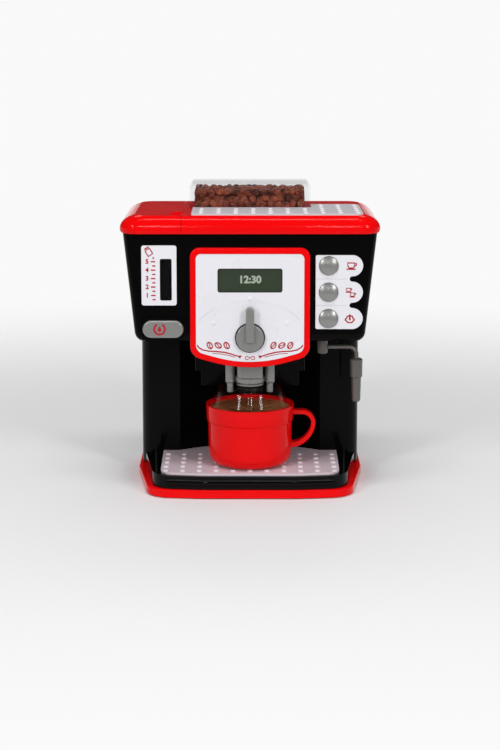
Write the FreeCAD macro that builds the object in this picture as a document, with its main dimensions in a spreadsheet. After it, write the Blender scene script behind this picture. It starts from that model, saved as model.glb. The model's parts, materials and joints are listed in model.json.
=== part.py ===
import FreeCAD, Part
import math
import os
import Sketcher

# Toy coffee maker in millimetres. +X is the machine's right as seen from the front, -Y its front,
# +Z up. The origin is the centre of the footprint on the surface that it stands on.

Vector = FreeCAD.Vector
UP = Vector(0, 0, 1)
ROOT_HALF = math.sqrt(0.5)

DRIVING = {
    # overall places
    "front_face": 60.0, "back_face": 76.0, "base_front": 76.0,
    "foot_height": 1.0, "plinth_top": 8.0, "head_bottom": 138.0, "head_top": 234.0,
    "wall": 2.2, "seam": 0.3, "cover_thick": 2.2,
    # the bow of the front edges, seen from above
    "bow": 5.0, "bow_half": 42.0, "bow_bend": 70.0,
    # plinth and tray
    "plinth_half_back": 103.4, "plinth_half_front": 90.0, "plinth_bend": 15.0,
    "plinth_corner": 24.0, "plinth_curve": 1.2,
    "tray_half_back": 97.0, "tray_half_front": 85.0, "tray_front": 73.6, "tray_top": 20.0,
    "tray_corner": 21.0,
    "tray_gap": 0.3, "tray_floor": 2.4, "tray_rim": 4.0, "grip_half": 74.0, "grip_radius": 3.2,
    "grip_proud": 2.2,
    "plate_half": 80.5, "plate_half_front": 79.5, "plate_front": 70.5, "plate_thick": 2.0,
    "plate_corner": 14.0,
    # columns and niche
    "column_half": 101.0, "niche_half": 65.0, "column_front": 16.0, "niche_back": 38.0,
    "column_corner": 18.0, "boss_radius": 4.0, "screw_radius": 1.5, "thread_gap": 0.02,
    # head
    "head_flare": 10.5, "head_corner": 9.0, "head_edge": 7.0,
    # cap, lid, plate, hopper
    "cap_overhang": 3.5, "cap_front": 64.0, "cap_top": 250.0, "cap_corner": 16.0,
    "cap_slope": 13.5, "lid_seam": 60.0, "hinge_out": 1.8, "hinge_rise": 1.5,
    "pin_radius": 0.7, "pin_gap": 0.05, "lug_radius": 1.6, "lug_width": 8.0, "lug_spread": 70.0,
    "warm_left": 51.5, "warm_right": 99.5, "warm_front": 56.5, "warm_back": 26.0, "warm_thick": 1.6,
    "hopper_half": 55.0, "hopper_front": 2.0, "hopper_back": 60.0, "hopper_rise": 22.0,
    "hopper_wall": 1.5, "bean_gap": 3.0,
    # central face
    "face_half": 52.5, "face_top": 222.3, "face_side_low": 126.5, "face_low": 116.6,
    "face_shoulder": 121.1, "face_shoulder_half": 33.0,
    "face_proud": 6.3, "face_corner": 8.0, "face_low_corner": 12.0, "bezel_width": 5.0,
    "panel_thick": 2.0, "window_half": 28.4, "window_low": 183.3, "window_high": 204.5,
    "window_corner": 2.2, "knob_height": 143.2, "knob_radius": 12.2, "knob_thick": 4.0,
    "fin_reach": 27.8, "fin_half": 3.5, "fin_proud": 3.6, "shaft_radius": 3.0, "shaft_gap": 0.05,
    # water gauge and water button
    "gauge_left": 95.0, "gauge_right": 64.3, "gauge_low": 171.2, "gauge_high": 224.1,
    "slot_left": 78.9, "slot_right": 68.5, "slot_low": 175.4, "slot_high": 212.4,
    "trim_thick": 1.5, "pill_across": 76.3, "pill_up": 150.3, "pill_length": 36.0,
    "pill_height": 15.5, "pill_proud": 5.0, "rim_width": 2.4, "button_gap": 0.35,
    "tank_low": 172.0, "tank_wall": 1.6, "stem_radius": 2.5, "water_travel": 3.0,
    "stem_end": 32.0, "valve_front": 46.0, "valve_wall": 5.5,
    # three push buttons
    "keys_left": 57.5, "lobe_across": 89.6, "lobe_radius": 9.3, "key_across": 68.9,
    "key_low": 159.5, "key_pitch": 23.4, "key_radius": 8.2, "key_proud": 4.6, "key_travel": 2.5,
    "board_depth": 47.0, "board_thick": 1.6,
    # spouts, dome, wand, mug
    "spout_across": 17.9, "spout_depth": 30.0, "spout_radius": 4.4, "spout_low": 97.0,
    "nozzle_radius": 2.85, "nozzle_low": 87.2, "ring_radius": 13.2, "ring_low": 94.0,
    "dome_top": 93.5, "dome_low": 77.4, "dome_half_top": 28.0, "dome_half_low": 33.5,
    "dome_wall": 1.5, "wand_across": 64.5, "wand_depth": 40.0, "wand_tube": 1.9,
    "wand_level": 130.4, "wand_reach": 30.5, "wand_bend": 7.0, "knuckle_radius": 4.65,
    "sleeve_radius": 5.6, "sleeve_low": 103.5, "sleeve_high": 120.0, "tip_low": 80.0,
    "mug_rim": 39.7, "mug_high": 54.2, "mug_waist": 38.0, "mug_foot": 30.0, "mug_wall": 2.0,
    "pip_height": 0.7, "pip_radius": 2.3, "pip_pitch": 15.2, "coffee_depth": 3.0,
    "handle_reach": 59.0, "handle_high": 48.5, "handle_low": 15.5, "handle_thick": 3.6,
    "handle_half": 4.5,
    # power and sound
    "cell_radius": 7.2, "cell_length": 50.5, "cell_pitch": 15.0, "cell_middle": 72.0,
    "speaker_radius": 20.0, "speaker_up": 195.0,
}


def joined(left, right, sign, number):
    """The sum, difference, product or ratio of two sizes, as a number and as an expression."""
    return Size(number, f"({as_size(left).text} {sign} {as_size(right).text})")


class Size:
    """A length with its number and the sheet expression that it comes from."""

    def __init__(self, number, text):
        self.number = number
        self.text = text

    def __add__(self, other):
        return joined(self, other, "+", self.number + as_size(other).number)

    def __radd__(self, other):
        return joined(other, self, "+", self.number + other)

    def __sub__(self, other):
        return joined(self, other, "-", self.number - as_size(other).number)

    def __rsub__(self, other):
        return joined(other, self, "-", other - self.number)

    def __mul__(self, other):
        return joined(self, other, "*", self.number * as_size(other).number)

    __rmul__ = __mul__

    def __truediv__(self, other):
        return joined(self, other, "/", self.number / as_size(other).number)

    def __neg__(self):
        return joined(0, self, "-", -self.number)


def as_size(value):
    if isinstance(value, Size):
        return value
    return Size(float(value), f"({float(value):.6f})")


doc = FreeCAD.newDocument("toy_coffee_maker")
sheet = doc.addObject("Spreadsheet::Sheet", "Sizes")
for row, (alias, amount) in enumerate(DRIVING.items(), 1):
    sheet.set(f"A{row}", alias)
    sheet.set(f"B{row}", str(amount))
    sheet.setAlias(f"B{row}", alias)
doc.recompute()


class Sheet:
    """Every driving size as a Size, by its name."""

    def __init__(self):
        for alias, amount in DRIVING.items():
            setattr(self, alias, Size(amount, "Sizes." + alias))


s = Sheet()
s.head_half_top = s.column_half + s.head_flare
s.cap_half = s.head_half_top + s.cap_overhang
s.hinge_across = s.head_half_top + s.hinge_out
s.hinge_up = s.head_top + s.hinge_rise
s.hopper_top = s.cap_top + s.hopper_rise
NODES = []


def node(piece, label):
    """Name a finished sub-part and keep it for the export."""
    piece.Label = label
    NODES.append(piece)
    return piece


# Sketches

class Corner:
    """A corner of an outline: square, rounded, or the start of an arc through a point."""

    def __init__(self, x, y, rounding=None, via=None):
        self.x = as_size(x)
        self.y = as_size(y)
        self.rounding = None if rounding is None else as_size(rounding)
        self.via = None if via is None else (as_size(via[0]), as_size(via[1]))
        self.spot = Vector(self.x.number, self.y.number, 0)


def new_body(name):
    return doc.addObject("PartDesign::Body", name)


def sketch_on(body, role, shift=0):
    """A sketch on one of the body's own origin planes, moved along that plane's normal."""
    plane = [feature for feature in body.Origin.OriginFeatures if feature.Role == role][0]
    sketch = body.newObject("Sketcher::SketchObject", body.Name + "_sketch")
    sketch.AttachmentSupport = [(plane, "")]
    sketch.MapMode = "FlatFace"
    shift = as_size(shift)
    sketch.AttachmentOffset = FreeCAD.Placement(Vector(0, 0, shift.number), FreeCAD.Rotation())
    sketch.setExpression("AttachmentOffset.Base.z", shift.text)
    return sketch


def bind(sketch, constraint, size):
    index = sketch.addConstraint(constraint)
    sketch.setExpression(f"Constraints[{index}]", size.text)


def pin(sketch, piece, end, x, y):
    """Fix one point of a sketch by its distances from the origin."""
    x, y = as_size(x), as_size(y)
    bind(sketch, Sketcher.Constraint("DistanceX", -1, 1, piece, end, x.number), x)
    bind(sketch, Sketcher.Constraint("DistanceY", -1, 1, piece, end, y.number), y)


def add_arc(sketch, start, via, stop):
    """An arc through three points; returns its index and its end numbers in travel order."""
    shape = Part.Circle(start, via, stop)
    centre = shape.Center
    turning_left = (via - start).cross(stop - via).z > 0
    first, last = (start, stop) if turning_left else (stop, start)
    low = math.atan2(first.y - centre.y, first.x - centre.x)
    high = math.atan2(last.y - centre.y, last.x - centre.x)
    if high <= low:
        high += 2 * math.pi
    circle = Part.Circle(centre, UP, shape.Radius)
    index = sketch.addGeometry(Part.ArcOfCircle(circle, low, high), False)
    return index, ((1, 2) if turning_left else (2, 1))


def outline(sketch, corners, closed=True):
    """Draw sides through the corners, with each corner pinned to its sizes."""
    count = len(corners)
    arrive, leave = [], []
    for i, corner in enumerate(corners):
        if corner.rounding is None:
            arrive.append(corner.spot)
            leave.append(corner.spot)
            continue
        before = (corners[i - 1].spot - corner.spot).normalize()
        after = (corners[(i + 1) % count].spot - corner.spot).normalize()
        reach = corner.rounding.number / math.tan(before.getAngle(after) / 2)
        arrive.append(corner.spot + before * reach)
        leave.append(corner.spot + after * reach)
    sides = []
    for i in range(count if closed else count - 1):
        start, stop = leave[i], arrive[(i + 1) % count]
        via = corners[i].via
        if via is None:
            sides.append((sketch.addGeometry(Part.LineSegment(start, stop), False), (1, 2)))
        else:
            middle = Vector(via[0].number, via[1].number, 0)
            side, ends = add_arc(sketch, start, middle, stop)
            sides.append((side, ends))
            mark = sketch.addGeometry(Part.Point(middle), True)
            pin(sketch, mark, 1, *via)
            sketch.addConstraint(Sketcher.Constraint("PointOnObject", mark, 1, side))
    for i, corner in enumerate(corners):
        last = closed or i < count - 1
        side, ends = sides[i] if last else sides[i - 1]
        near = ends[0] if last else ends[1]
        if corner.rounding is None:
            if closed or 0 < i < count - 1:
                past, past_ends = sides[i - 1]
                sketch.addConstraint(
                    Sketcher.Constraint("Coincident", past, past_ends[1], side, near))
            pin(sketch, side, near, corner.x, corner.y)
            continue
        past, past_ends = sides[i - 1]
        inward = (arrive[i] - corner.spot) + (leave[i] - corner.spot)
        reach = (arrive[i] - corner.spot).Length
        radius = corner.rounding.number
        centre = corner.spot + inward.normalize() * math.hypot(reach, radius)
        middle = centre + (corner.spot - centre).normalize() * radius
        arc, arc_ends = add_arc(sketch, arrive[i], middle, leave[i])
        mark = sketch.addGeometry(Part.Point(corner.spot), True)
        pin(sketch, mark, 1, corner.x, corner.y)
        for line in (past, side):
            sketch.addConstraint(Sketcher.Constraint("PointOnObject", mark, 1, line))
        sketch.addConstraint(
            Sketcher.Constraint("Tangent", past, past_ends[1], arc, arc_ends[0]))
        sketch.addConstraint(Sketcher.Constraint("Tangent", arc, arc_ends[1], side, near))
        bind(sketch, Sketcher.Constraint("Radius", arc, radius), corner.rounding)


def rectangle(sketch, left, low, right, high, rounding=None):
    outline(sketch, [Corner(left, low, rounding), Corner(right, low, rounding),
                     Corner(right, high, rounding), Corner(left, high, rounding)])


def ring(sketch, x, y, radius):
    x, y, radius = as_size(x), as_size(y), as_size(radius)
    spot = Vector(x.number, y.number, 0)
    index = sketch.addGeometry(Part.Circle(spot, UP, radius.number), False)
    pin(sketch, index, 3, x, y)
    bind(sketch, Sketcher.Constraint("Radius", index, radius.number), radius)


def pill(sketch, x, y, length, height):
    """A slot with round ends, lying along the sketch's first axis."""
    half = height / 2
    right, left = x + length / 2 - half, x - length / 2 + half
    top, low = y + half, y - half
    corners = [Corner(left, low), Corner(right, low, via=(x + length / 2, y)),
               Corner(right, top), Corner(left, top, via=(x - length / 2, y))]
    outline(sketch, corners)


# Features

def sized(feature, name, size):
    size = as_size(size)
    setattr(feature, name, size.number)
    feature.setExpression(name, size.text)


def pad(body, sketch, length, backwards=False, both=False):
    """Raise the sketch into a solid; backwards goes against the sketch's normal."""
    feature = body.newObject("PartDesign::Pad", body.Name + "_pad")
    feature.Profile = sketch
    sized(feature, "Length", length)
    feature.Reversed = backwards
    feature.Midplane = both
    return feature


def pocket(body, sketch, length, along=False):
    """Cut the sketch into the solid; along goes the way of the sketch's normal."""
    feature = body.newObject("PartDesign::Pocket", body.Name + "_pocket")
    feature.Profile = sketch
    sized(feature, "Length", length)
    feature.Reversed = along
    return feature


def turn(body, sketch, kind="Revolution", axis="V_Axis"):
    """Revolve or groove the sketch about one of its own axes."""
    feature = body.newObject("PartDesign::" + kind, body.Name + "_turned")
    feature.Profile = sketch
    feature.ReferenceAxis = (sketch, [axis])
    feature.Angle = 360
    return feature


def loft(body, sections, kind="AdditiveLoft", ruled=False):
    feature = body.newObject("PartDesign::" + kind, body.Name + "_loft")
    feature.Profile = sections[0]
    feature.Sections = sections[1:]
    feature.Ruled = ruled
    return feature


def repeat(body, original, sketch, axis, step, count):
    """A row of copies of a feature along one axis of its sketch."""
    feature = body.newObject("PartDesign::LinearPattern", body.Name + "_row")
    feature.Originals = [original]
    feature.Direction = (sketch, [axis])
    feature.Occurrences = count
    sized(feature, "Length", step * (count - 1))
    body.Tip = feature
    return feature


def round_edges(body, radius, wanted):
    """Fillet the edges of the body's last feature that the test picks."""
    doc.recompute()
    base = body.Tip
    names = [f"Edge{i}" for i, edge in enumerate(base.Shape.Edges, 1) if wanted(edge)]
    feature = body.newObject("PartDesign::Fillet", body.Name + "_fillet")
    feature.Base = (base, names)
    sized(feature, "Radius", radius)
    return feature


def shell(body, wall, opened):
    """Hollow the body's last feature, leaving the faces that the test picks open."""
    doc.recompute()
    base = body.Tip
    names = [f"Face{i}" for i, face in enumerate(base.Shape.Faces, 1) if opened(face)]
    feature = body.newObject("PartDesign::Thickness", body.Name + "_shell")
    feature.Base = (base, names)
    sized(feature, "Value", wall)
    feature.Reversed = True
    feature.Join = 1
    return feature


def near(value, target, slack=0.05):
    return abs(value - as_size(target).number) < slack


def place(piece, x=0, y=0, z=0, rotation=None):
    x, y, z = as_size(x), as_size(y), as_size(z)
    spot = Vector(x.number, y.number, z.number)
    piece.Placement = FreeCAD.Placement(spot, rotation or FreeCAD.Rotation())
    for letter, size in (("x", x), ("y", y), ("z", z)):
        piece.setExpression("Placement.Base." + letter, size.text)
    return piece


# Part primitives

def box(name, low, high):
    """A block between two corners."""
    piece = doc.addObject("Part::Box", name)
    for kind, start, stop in zip(("Length", "Width", "Height"), low, high):
        sized(piece, kind, as_size(stop) - start)
    return place(piece, *low)


def cylinder(name, radius, length, x, y, z, along="z"):
    """A round bar that starts at a point and runs along +X, +Y or +Z."""
    piece = doc.addObject("Part::Cylinder", name)
    sized(piece, "Radius", radius)
    sized(piece, "Height", length)
    turns = {"x": FreeCAD.Rotation(Vector(0, 1, 0), 90), "y": FreeCAD.Rotation(Vector(1, 0, 0), -90),
             "z": FreeCAD.Rotation()}
    return place(piece, x, y, z, turns[along])


def fuse(name, pieces):
    piece = doc.addObject("Part::MultiFuse", name)
    piece.Shapes = pieces
    return piece


def cut(name, base, tool):
    piece = doc.addObject("Part::Cut", name)
    piece.Base = base
    piece.Tool = tool
    return piece


def group(name, pieces):
    """Separate solids kept as one sub-part."""
    piece = doc.addObject("Part::Compound", name)
    piece.Links = pieces
    return piece


def tube(name, outer, inner, length, x, y, z, along="z"):
    whole = cylinder(name + "_outer", outer, length, x, y, z, along)
    hole = cylinder(name + "_bore", inner, length, x, y, z, along)
    return cut(name, whole, hole)


# Base

BEND_ROUND = 20.0
SCREW_SPOTS = [(side, y) for side in (1, -1) for y in (30, 62)]
FOOT_RADIUS = 6.0
FOOT_ACROSS = s.plinth_half_front - 22
FOOT_DEPTHS = (26 - s.base_front, s.back_face - 14)
BOSS_ACROSS = s.column_half - s.wall * 3 - s.boss_radius * 2
BOSS_HEIGHT = 14.0
SCREW_BITE = 10.0
HEAD_THICK = 2.0
SHORTEST_ROUNDED_EDGE = 15


def bowed_front(half, front, rounding):
    """The front's corners, from left to right: its middle stands forward of its two ends."""
    return [Corner(-half, s.bow - front, rounding), Corner(-s.bow_half, -front, s.bow_bend),
            Corner(s.bow_half, -front, s.bow_bend), Corner(half, s.bow - front, rounding)]


def plan_outline(half_back, half_front, bend, front, back, rounding):
    """The base's plan: straight sides at the back, then narrowing to a bowed front."""
    return [Corner(half_back, back), Corner(-half_back, back), Corner(-half_back, bend, BEND_ROUND)
            ] + bowed_front(half_front, front, rounding) + [Corner(half_back, bend, BEND_ROUND)]


def make_plinth():
    body = new_body("Plinth")
    plan = sketch_on(body, "XY_Plane", s.foot_height)
    outline(plan, plan_outline(s.plinth_half_back, s.plinth_half_front, s.plinth_bend,
                               s.base_front, s.back_face, s.plinth_corner))
    pad(body, plan, s.plinth_top - s.foot_height)
    under = sketch_on(body, "XY_Plane", s.foot_height)
    outline(under, plan_outline(s.plinth_half_back - s.wall, s.plinth_half_front - s.wall,
                                s.plinth_bend - s.wall / 2, s.base_front - s.wall,
                                s.back_face - s.wall, s.plinth_corner - s.wall))
    pocket(body, under, s.plinth_top - s.foot_height - s.wall, along=True)
    bosses = sketch_on(body, "XY_Plane", s.foot_height)
    for side in (1, -1):
        for depth in FOOT_DEPTHS:
            ring(bosses, side * FOOT_ACROSS, depth, FOOT_RADIUS + 1)
    pad(body, bosses, s.plinth_top - s.foot_height - s.wall / 2)
    holes = sketch_on(body, "XY_Plane", s.plinth_top)
    for side, y in SCREW_SPOTS:
        ring(holes, side * BOSS_ACROSS, y, s.screw_radius + s.seam)
    pocket(body, holes, s.wall * 1.5)
    round_edges(body, s.plinth_curve, lambda edge: near(edge.BoundBox.ZMin, s.plinth_top)
                and edge.Length > SHORTEST_ROUNDED_EDGE)
    node(body, "base_plinth")
    feet = []
    for side in (1, -1):
        for depth in FOOT_DEPTHS:
            feet.append(cylinder("Foot", FOOT_RADIUS, s.foot_height, side * FOOT_ACROSS, depth,
                                 0))
    node(group("Feet", feet), "rubber_feet")


def screw(name, x, y, z, length, along="z", head_first=True, head=HEAD_THICK):
    """A pan-head screw; its head starts at the point."""
    if head_first:
        top = cylinder(name + "_head", s.screw_radius * 2, head, x, y, z, along)
        shift = {"y": (0, head, 0), "z": (0, 0, head)}[along]
        shank = cylinder(name + "_shank", s.screw_radius, length, as_size(x) + shift[0],
                         as_size(y) + shift[1], as_size(z) + shift[2], along)
    else:
        shank = cylinder(name + "_shank", s.screw_radius, length, x, as_size(y) - length, z, along)
        top = cylinder(name + "_head", s.screw_radius * 2, head, x, y, z, along)
    return fuse(name, [top, shank])


def base_screws():
    screws = []
    for i, (side, y) in enumerate(SCREW_SPOTS):
        start = s.plinth_top - s.wall - HEAD_THICK
        screws.append(screw(f"BaseScrew{i}", side * BOSS_ACROSS, y, start, s.wall + SCREW_BITE))
    return screws


def niche_back_edge(half, back, inset):
    """The tray's back edge, from the right to the left: it follows the niche's curve."""
    return [Corner(half, back, via=(0, s.niche_back - s.tray_gap - inset)), Corner(-half, back)]


def make_tray():
    body = new_body("Tray")
    half = s.niche_half - s.tray_gap
    back = s.column_front - s.tray_gap
    floor = s.plinth_top + s.tray_gap
    plan = sketch_on(body, "XY_Plane", floor)
    outline(plan, [Corner(s.tray_half_back, back)] + niche_back_edge(half, back, 0)
            + [Corner(-s.tray_half_back, back)]
            + bowed_front(s.tray_half_front, s.tray_front, s.tray_corner))
    pad(body, plan, s.tray_top - floor)
    bowl = sketch_on(body, "XY_Plane", s.tray_top)
    rim = s.tray_rim
    outline(bowl, [Corner(s.plate_half - rim, back - rim)]
            + niche_back_edge(half - rim, back - rim, rim)
            + [Corner(rim - s.plate_half, back - rim)]
            + bowed_front(s.plate_half_front - rim, s.plate_front - rim, s.plate_corner - rim))
    pocket(body, bowl, s.tray_top - floor - s.tray_floor)
    # The grip is a round bar, sunk into the bowed front along its whole length.
    level = (floor + s.tray_top) / 2
    middle = s.grip_proud - s.grip_radius + s.tray_front
    end = middle - s.bow * (s.grip_half - s.bow_half) / (s.tray_half_front - s.bow_half)
    path = sketch_on(body, "XY_Plane", level)
    outline(path, [Corner(-s.grip_half, -end), Corner(-s.bow_half, -middle, s.bow_bend),
                   Corner(s.bow_half, -middle, s.bow_bend), Corner(s.grip_half, -end)],
            closed=False)
    section = sketch_on(body, "YZ_Plane", -s.grip_half)
    ring(section, -end, level, s.grip_radius)
    sweep = body.newObject("PartDesign::AdditivePipe", "GripSweep")
    sweep.Profile = section
    sweep.Spine = (path, [])
    node(body, "drip_tray")


PIP_ROWS = 5
PIP_COLUMNS = 11
PIP_SQUEEZE = 0.99
PIP_INSET = 9.0


def make_drip_plate():
    body = new_body("DripPlate")
    half = s.niche_half - s.tray_gap
    back = s.column_front - s.tray_gap
    plan = sketch_on(body, "XY_Plane", s.tray_top)
    outline(plan, [Corner(s.plate_half, back)] + niche_back_edge(half, back, 0)
            + [Corner(-s.plate_half, back)]
            + bowed_front(s.plate_half_front, s.plate_front, s.plate_corner))
    pad(body, plan, s.plate_thick)
    # The pips stand in straight rows, from the front edge back to the columns.
    pips = sketch_on(body, "XY_Plane", s.tray_top + s.plate_thick)
    for i in range(PIP_COLUMNS):
        across = (i - (PIP_COLUMNS - 1) / 2) * s.pip_pitch * PIP_SQUEEZE
        ring(pips, across, PIP_INSET - s.plate_front, s.pip_radius)
    raised = pad(body, pips, s.pip_height)
    repeat(body, raised, pips, "V_Axis", s.pip_pitch, PIP_ROWS)
    node(body, "drip_plate")


# Casing

# Each post is given by its place across, its height and the reach of its rib.
COLUMN_POSTS = [(s.column_half - 10, s.plinth_top + 32, 9.0),
                (s.column_half - 10, s.head_bottom - 16, 9.0)]
HEAD_POSTS = [(s.column_half - 6, s.head_bottom + 18, 6.8),
              (s.head_half_top - 9.5, s.head_top - 12, 7.2)]
POST_SET_BACK = 2.0
POST_LENGTH = 13.0
RIB_START = 3.6
RIB_HALF = 1.1


def make_columns():
    body = new_body("Columns")
    back = s.back_face - s.cover_thick
    plan = sketch_on(body, "XY_Plane", s.plinth_top)
    outline(plan, [
        Corner(s.column_half, back), Corner(s.column_half, s.column_front, s.column_corner),
        Corner(s.niche_half, s.column_front, via=(0, s.niche_back)),
        Corner(-s.niche_half, s.column_front),
        Corner(-s.column_half, s.column_front, s.column_corner), Corner(-s.column_half, back)])
    pad(body, plan, s.head_bottom - s.plinth_top)
    hollow = sketch_on(body, "XY_Plane", s.head_bottom)
    inner_half = s.column_half - s.wall
    inner_front = s.column_front + s.wall
    turn_in = s.niche_half + s.wall / 3
    outline(hollow, [
        Corner(inner_half, back + 1), Corner(inner_half, inner_front, s.column_corner - s.wall),
        Corner(turn_in, inner_front, via=(0, s.niche_back + s.wall)),
        Corner(-turn_in, inner_front),
        Corner(-inner_half, inner_front, s.column_corner - s.wall), Corner(-inner_half, back + 1)])
    pocket(body, hollow, s.head_bottom - s.plinth_top)
    bosses = sketch_on(body, "XY_Plane", s.plinth_top)
    for side, y in SCREW_SPOTS:
        ring(bosses, side * BOSS_ACROSS, y, s.boss_radius)
        ring(bosses, side * BOSS_ACROSS, y, s.screw_radius + s.thread_gap)
    pad(body, bosses, BOSS_HEIGHT)
    ribs = sketch_on(body, "XY_Plane", s.plinth_top)
    for side, y in SCREW_SPOTS:
        start = side * (BOSS_ACROSS + s.boss_radius * 0.9)
        stop = side * (s.column_half - s.wall / 2)
        low, high = (start, stop) if side > 0 else (stop, start)
        rectangle(ribs, low, y - s.wall / 2, high, y + s.wall / 2)
    pad(body, ribs, BOSS_HEIGHT)
    screw_posts(body, COLUMN_POSTS)
    node(body, "column_housing")


def screw_posts(body, spots):
    """Posts for the rear cover's screws, each tied to the side wall by a rib."""
    start = s.back_face - s.cover_thick - POST_SET_BACK - s.seam
    posts = sketch_on(body, "XZ_Plane", -start)
    for side in (1, -1):
        for x, z, reach in spots:
            ring(posts, side * x, z, s.boss_radius)
            ring(posts, side * x, z, s.screw_radius + s.thread_gap)
    pad(body, posts, POST_LENGTH)
    ribs = sketch_on(body, "XZ_Plane", -start)
    for side in (1, -1):
        for x, z, reach in spots:
            low, high = side * (x + RIB_START), side * (x + reach)
            if side < 0:
                low, high = high, low
            rectangle(ribs, low, z - RIB_HALF, high, z + RIB_HALF)
    pad(body, ribs, POST_LENGTH)


def key_height(i):
    return s.key_low + i * s.key_pitch


KEYS = ("bottom", "middle", "top")
BOARD_LOW = s.key_low - 14.5
BOARD_HIGH = key_height(2) + 15.2
BOARD_LEFT = s.keys_left
BOARD_RIGHT = s.lobe_across + s.lobe_radius + 0.6
BOARD_POSTS = [(s.key_across + 14.1, BOARD_LOW + 2.6), (BOARD_RIGHT - 3.5, BOARD_LOW + 3.6),
               (s.key_across + 14.1, BOARD_HIGH - 3.3), (BOARD_RIGHT - 2.5, BOARD_HIGH - 3.3)]
BOARD_POST_RADIUS = 2.2
CONTACT_RISE = 1.6
KEY_PLAY = 0.4
BEHIND_FACE = 6.0
LUG_MIDDLE = 6.0
LUG_PLACES = [LUG_MIDDLE - s.lug_spread / 2, LUG_MIDDLE + s.lug_spread / 2]


def make_head():
    body = new_body("Head")
    back = s.back_face - s.cover_thick
    face = sketch_on(body, "XZ_Plane", s.front_face)
    outline(face, [Corner(s.column_half, s.head_bottom, s.head_corner),
                   Corner(s.head_half_top, s.head_top), Corner(-s.head_half_top, s.head_top),
                   Corner(-s.column_half, s.head_bottom, s.head_corner)])
    pad(body, face, s.front_face + back, backwards=True)
    round_edges(body, s.head_edge, lambda edge: near(edge.BoundBox.YMin, -s.front_face)
                and near(edge.BoundBox.YMax, -s.front_face)
                and edge.BoundBox.ZMin < s.head_top.number - 0.1)
    shell(body, s.wall, lambda face: near(face.BoundBox.YMin, back)
          or near(face.BoundBox.ZMin, s.head_top))
    posts = sketch_on(body, "XZ_Plane", s.board_depth)
    for x, z in BOARD_POSTS:
        ring(posts, x, z, BOARD_POST_RADIUS)
    pad(body, posts, s.front_face - s.wall / 2 - s.board_depth)
    front = sketch_on(body, "XZ_Plane", s.front_face)
    rectangle(front, -s.window_half - BEHIND_FACE, s.knob_height + 8, s.window_half + BEHIND_FACE,
              s.window_high + BEHIND_FACE, 3)
    rectangle(front, -s.slot_left, s.slot_low, -s.slot_right, s.slot_high, 1.5)
    pill(front, -s.pill_across, s.pill_up, s.pill_length + 2 * s.button_gap,
         s.pill_height + 2 * s.button_gap)
    for i in range(len(KEYS)):
        ring(front, s.key_across, key_height(i), s.key_radius + s.button_gap)
    pocket(body, front, s.wall * 1.5, along=False)
    under = sketch_on(body, "XY_Plane", s.head_bottom + s.wall)
    for side in (1, -1):
        ring(under, side * s.spout_across, -s.spout_depth, s.spout_radius + s.seam)
    ring(under, s.wand_across, -s.wand_depth, s.stem_radius + s.shaft_gap)
    pocket(body, under, s.wall)
    screw_posts(body, HEAD_POSTS)
    # Two lugs on the left wall carry the lid's hinge pin.
    for y in LUG_PLACES:
        lug = sketch_on(body, "XZ_Plane", -y)
        outline(lug, [
            Corner(-s.hinge_across - s.lug_radius, s.hinge_up,
                   via=(-s.hinge_across, s.hinge_up + s.lug_radius)),
            Corner(-s.hinge_across + s.lug_radius, s.hinge_up),
            Corner(-s.head_half_top + s.wall, s.head_top - 0.5),
            Corner(-s.head_half_top + s.wall, s.head_top - 8)])
        pad(body, lug, s.lug_width, both=True)
    bore = sketch_on(body, "XZ_Plane", s.front_face - 4)
    ring(bore, -s.hinge_across, s.hinge_up, s.pin_radius + s.pin_gap)
    pocket(body, bore, s.front_face + s.back_face)
    node(body, "head_housing")


RIM_UP = 4.0
RIM_DOWN = 2.0
MAIN_POST_ACROSS = 26.0
MAIN_POST_RADIUS = 2.5
GRILLE_PITCH = 4.4
GRILLE_SLOT = 1.8
GRILLE_SPREAD = 1.6
PIT_DEPTH = 2.0
SWITCH_HALF = 5.5
SCREW_LENGTH = 11


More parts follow.
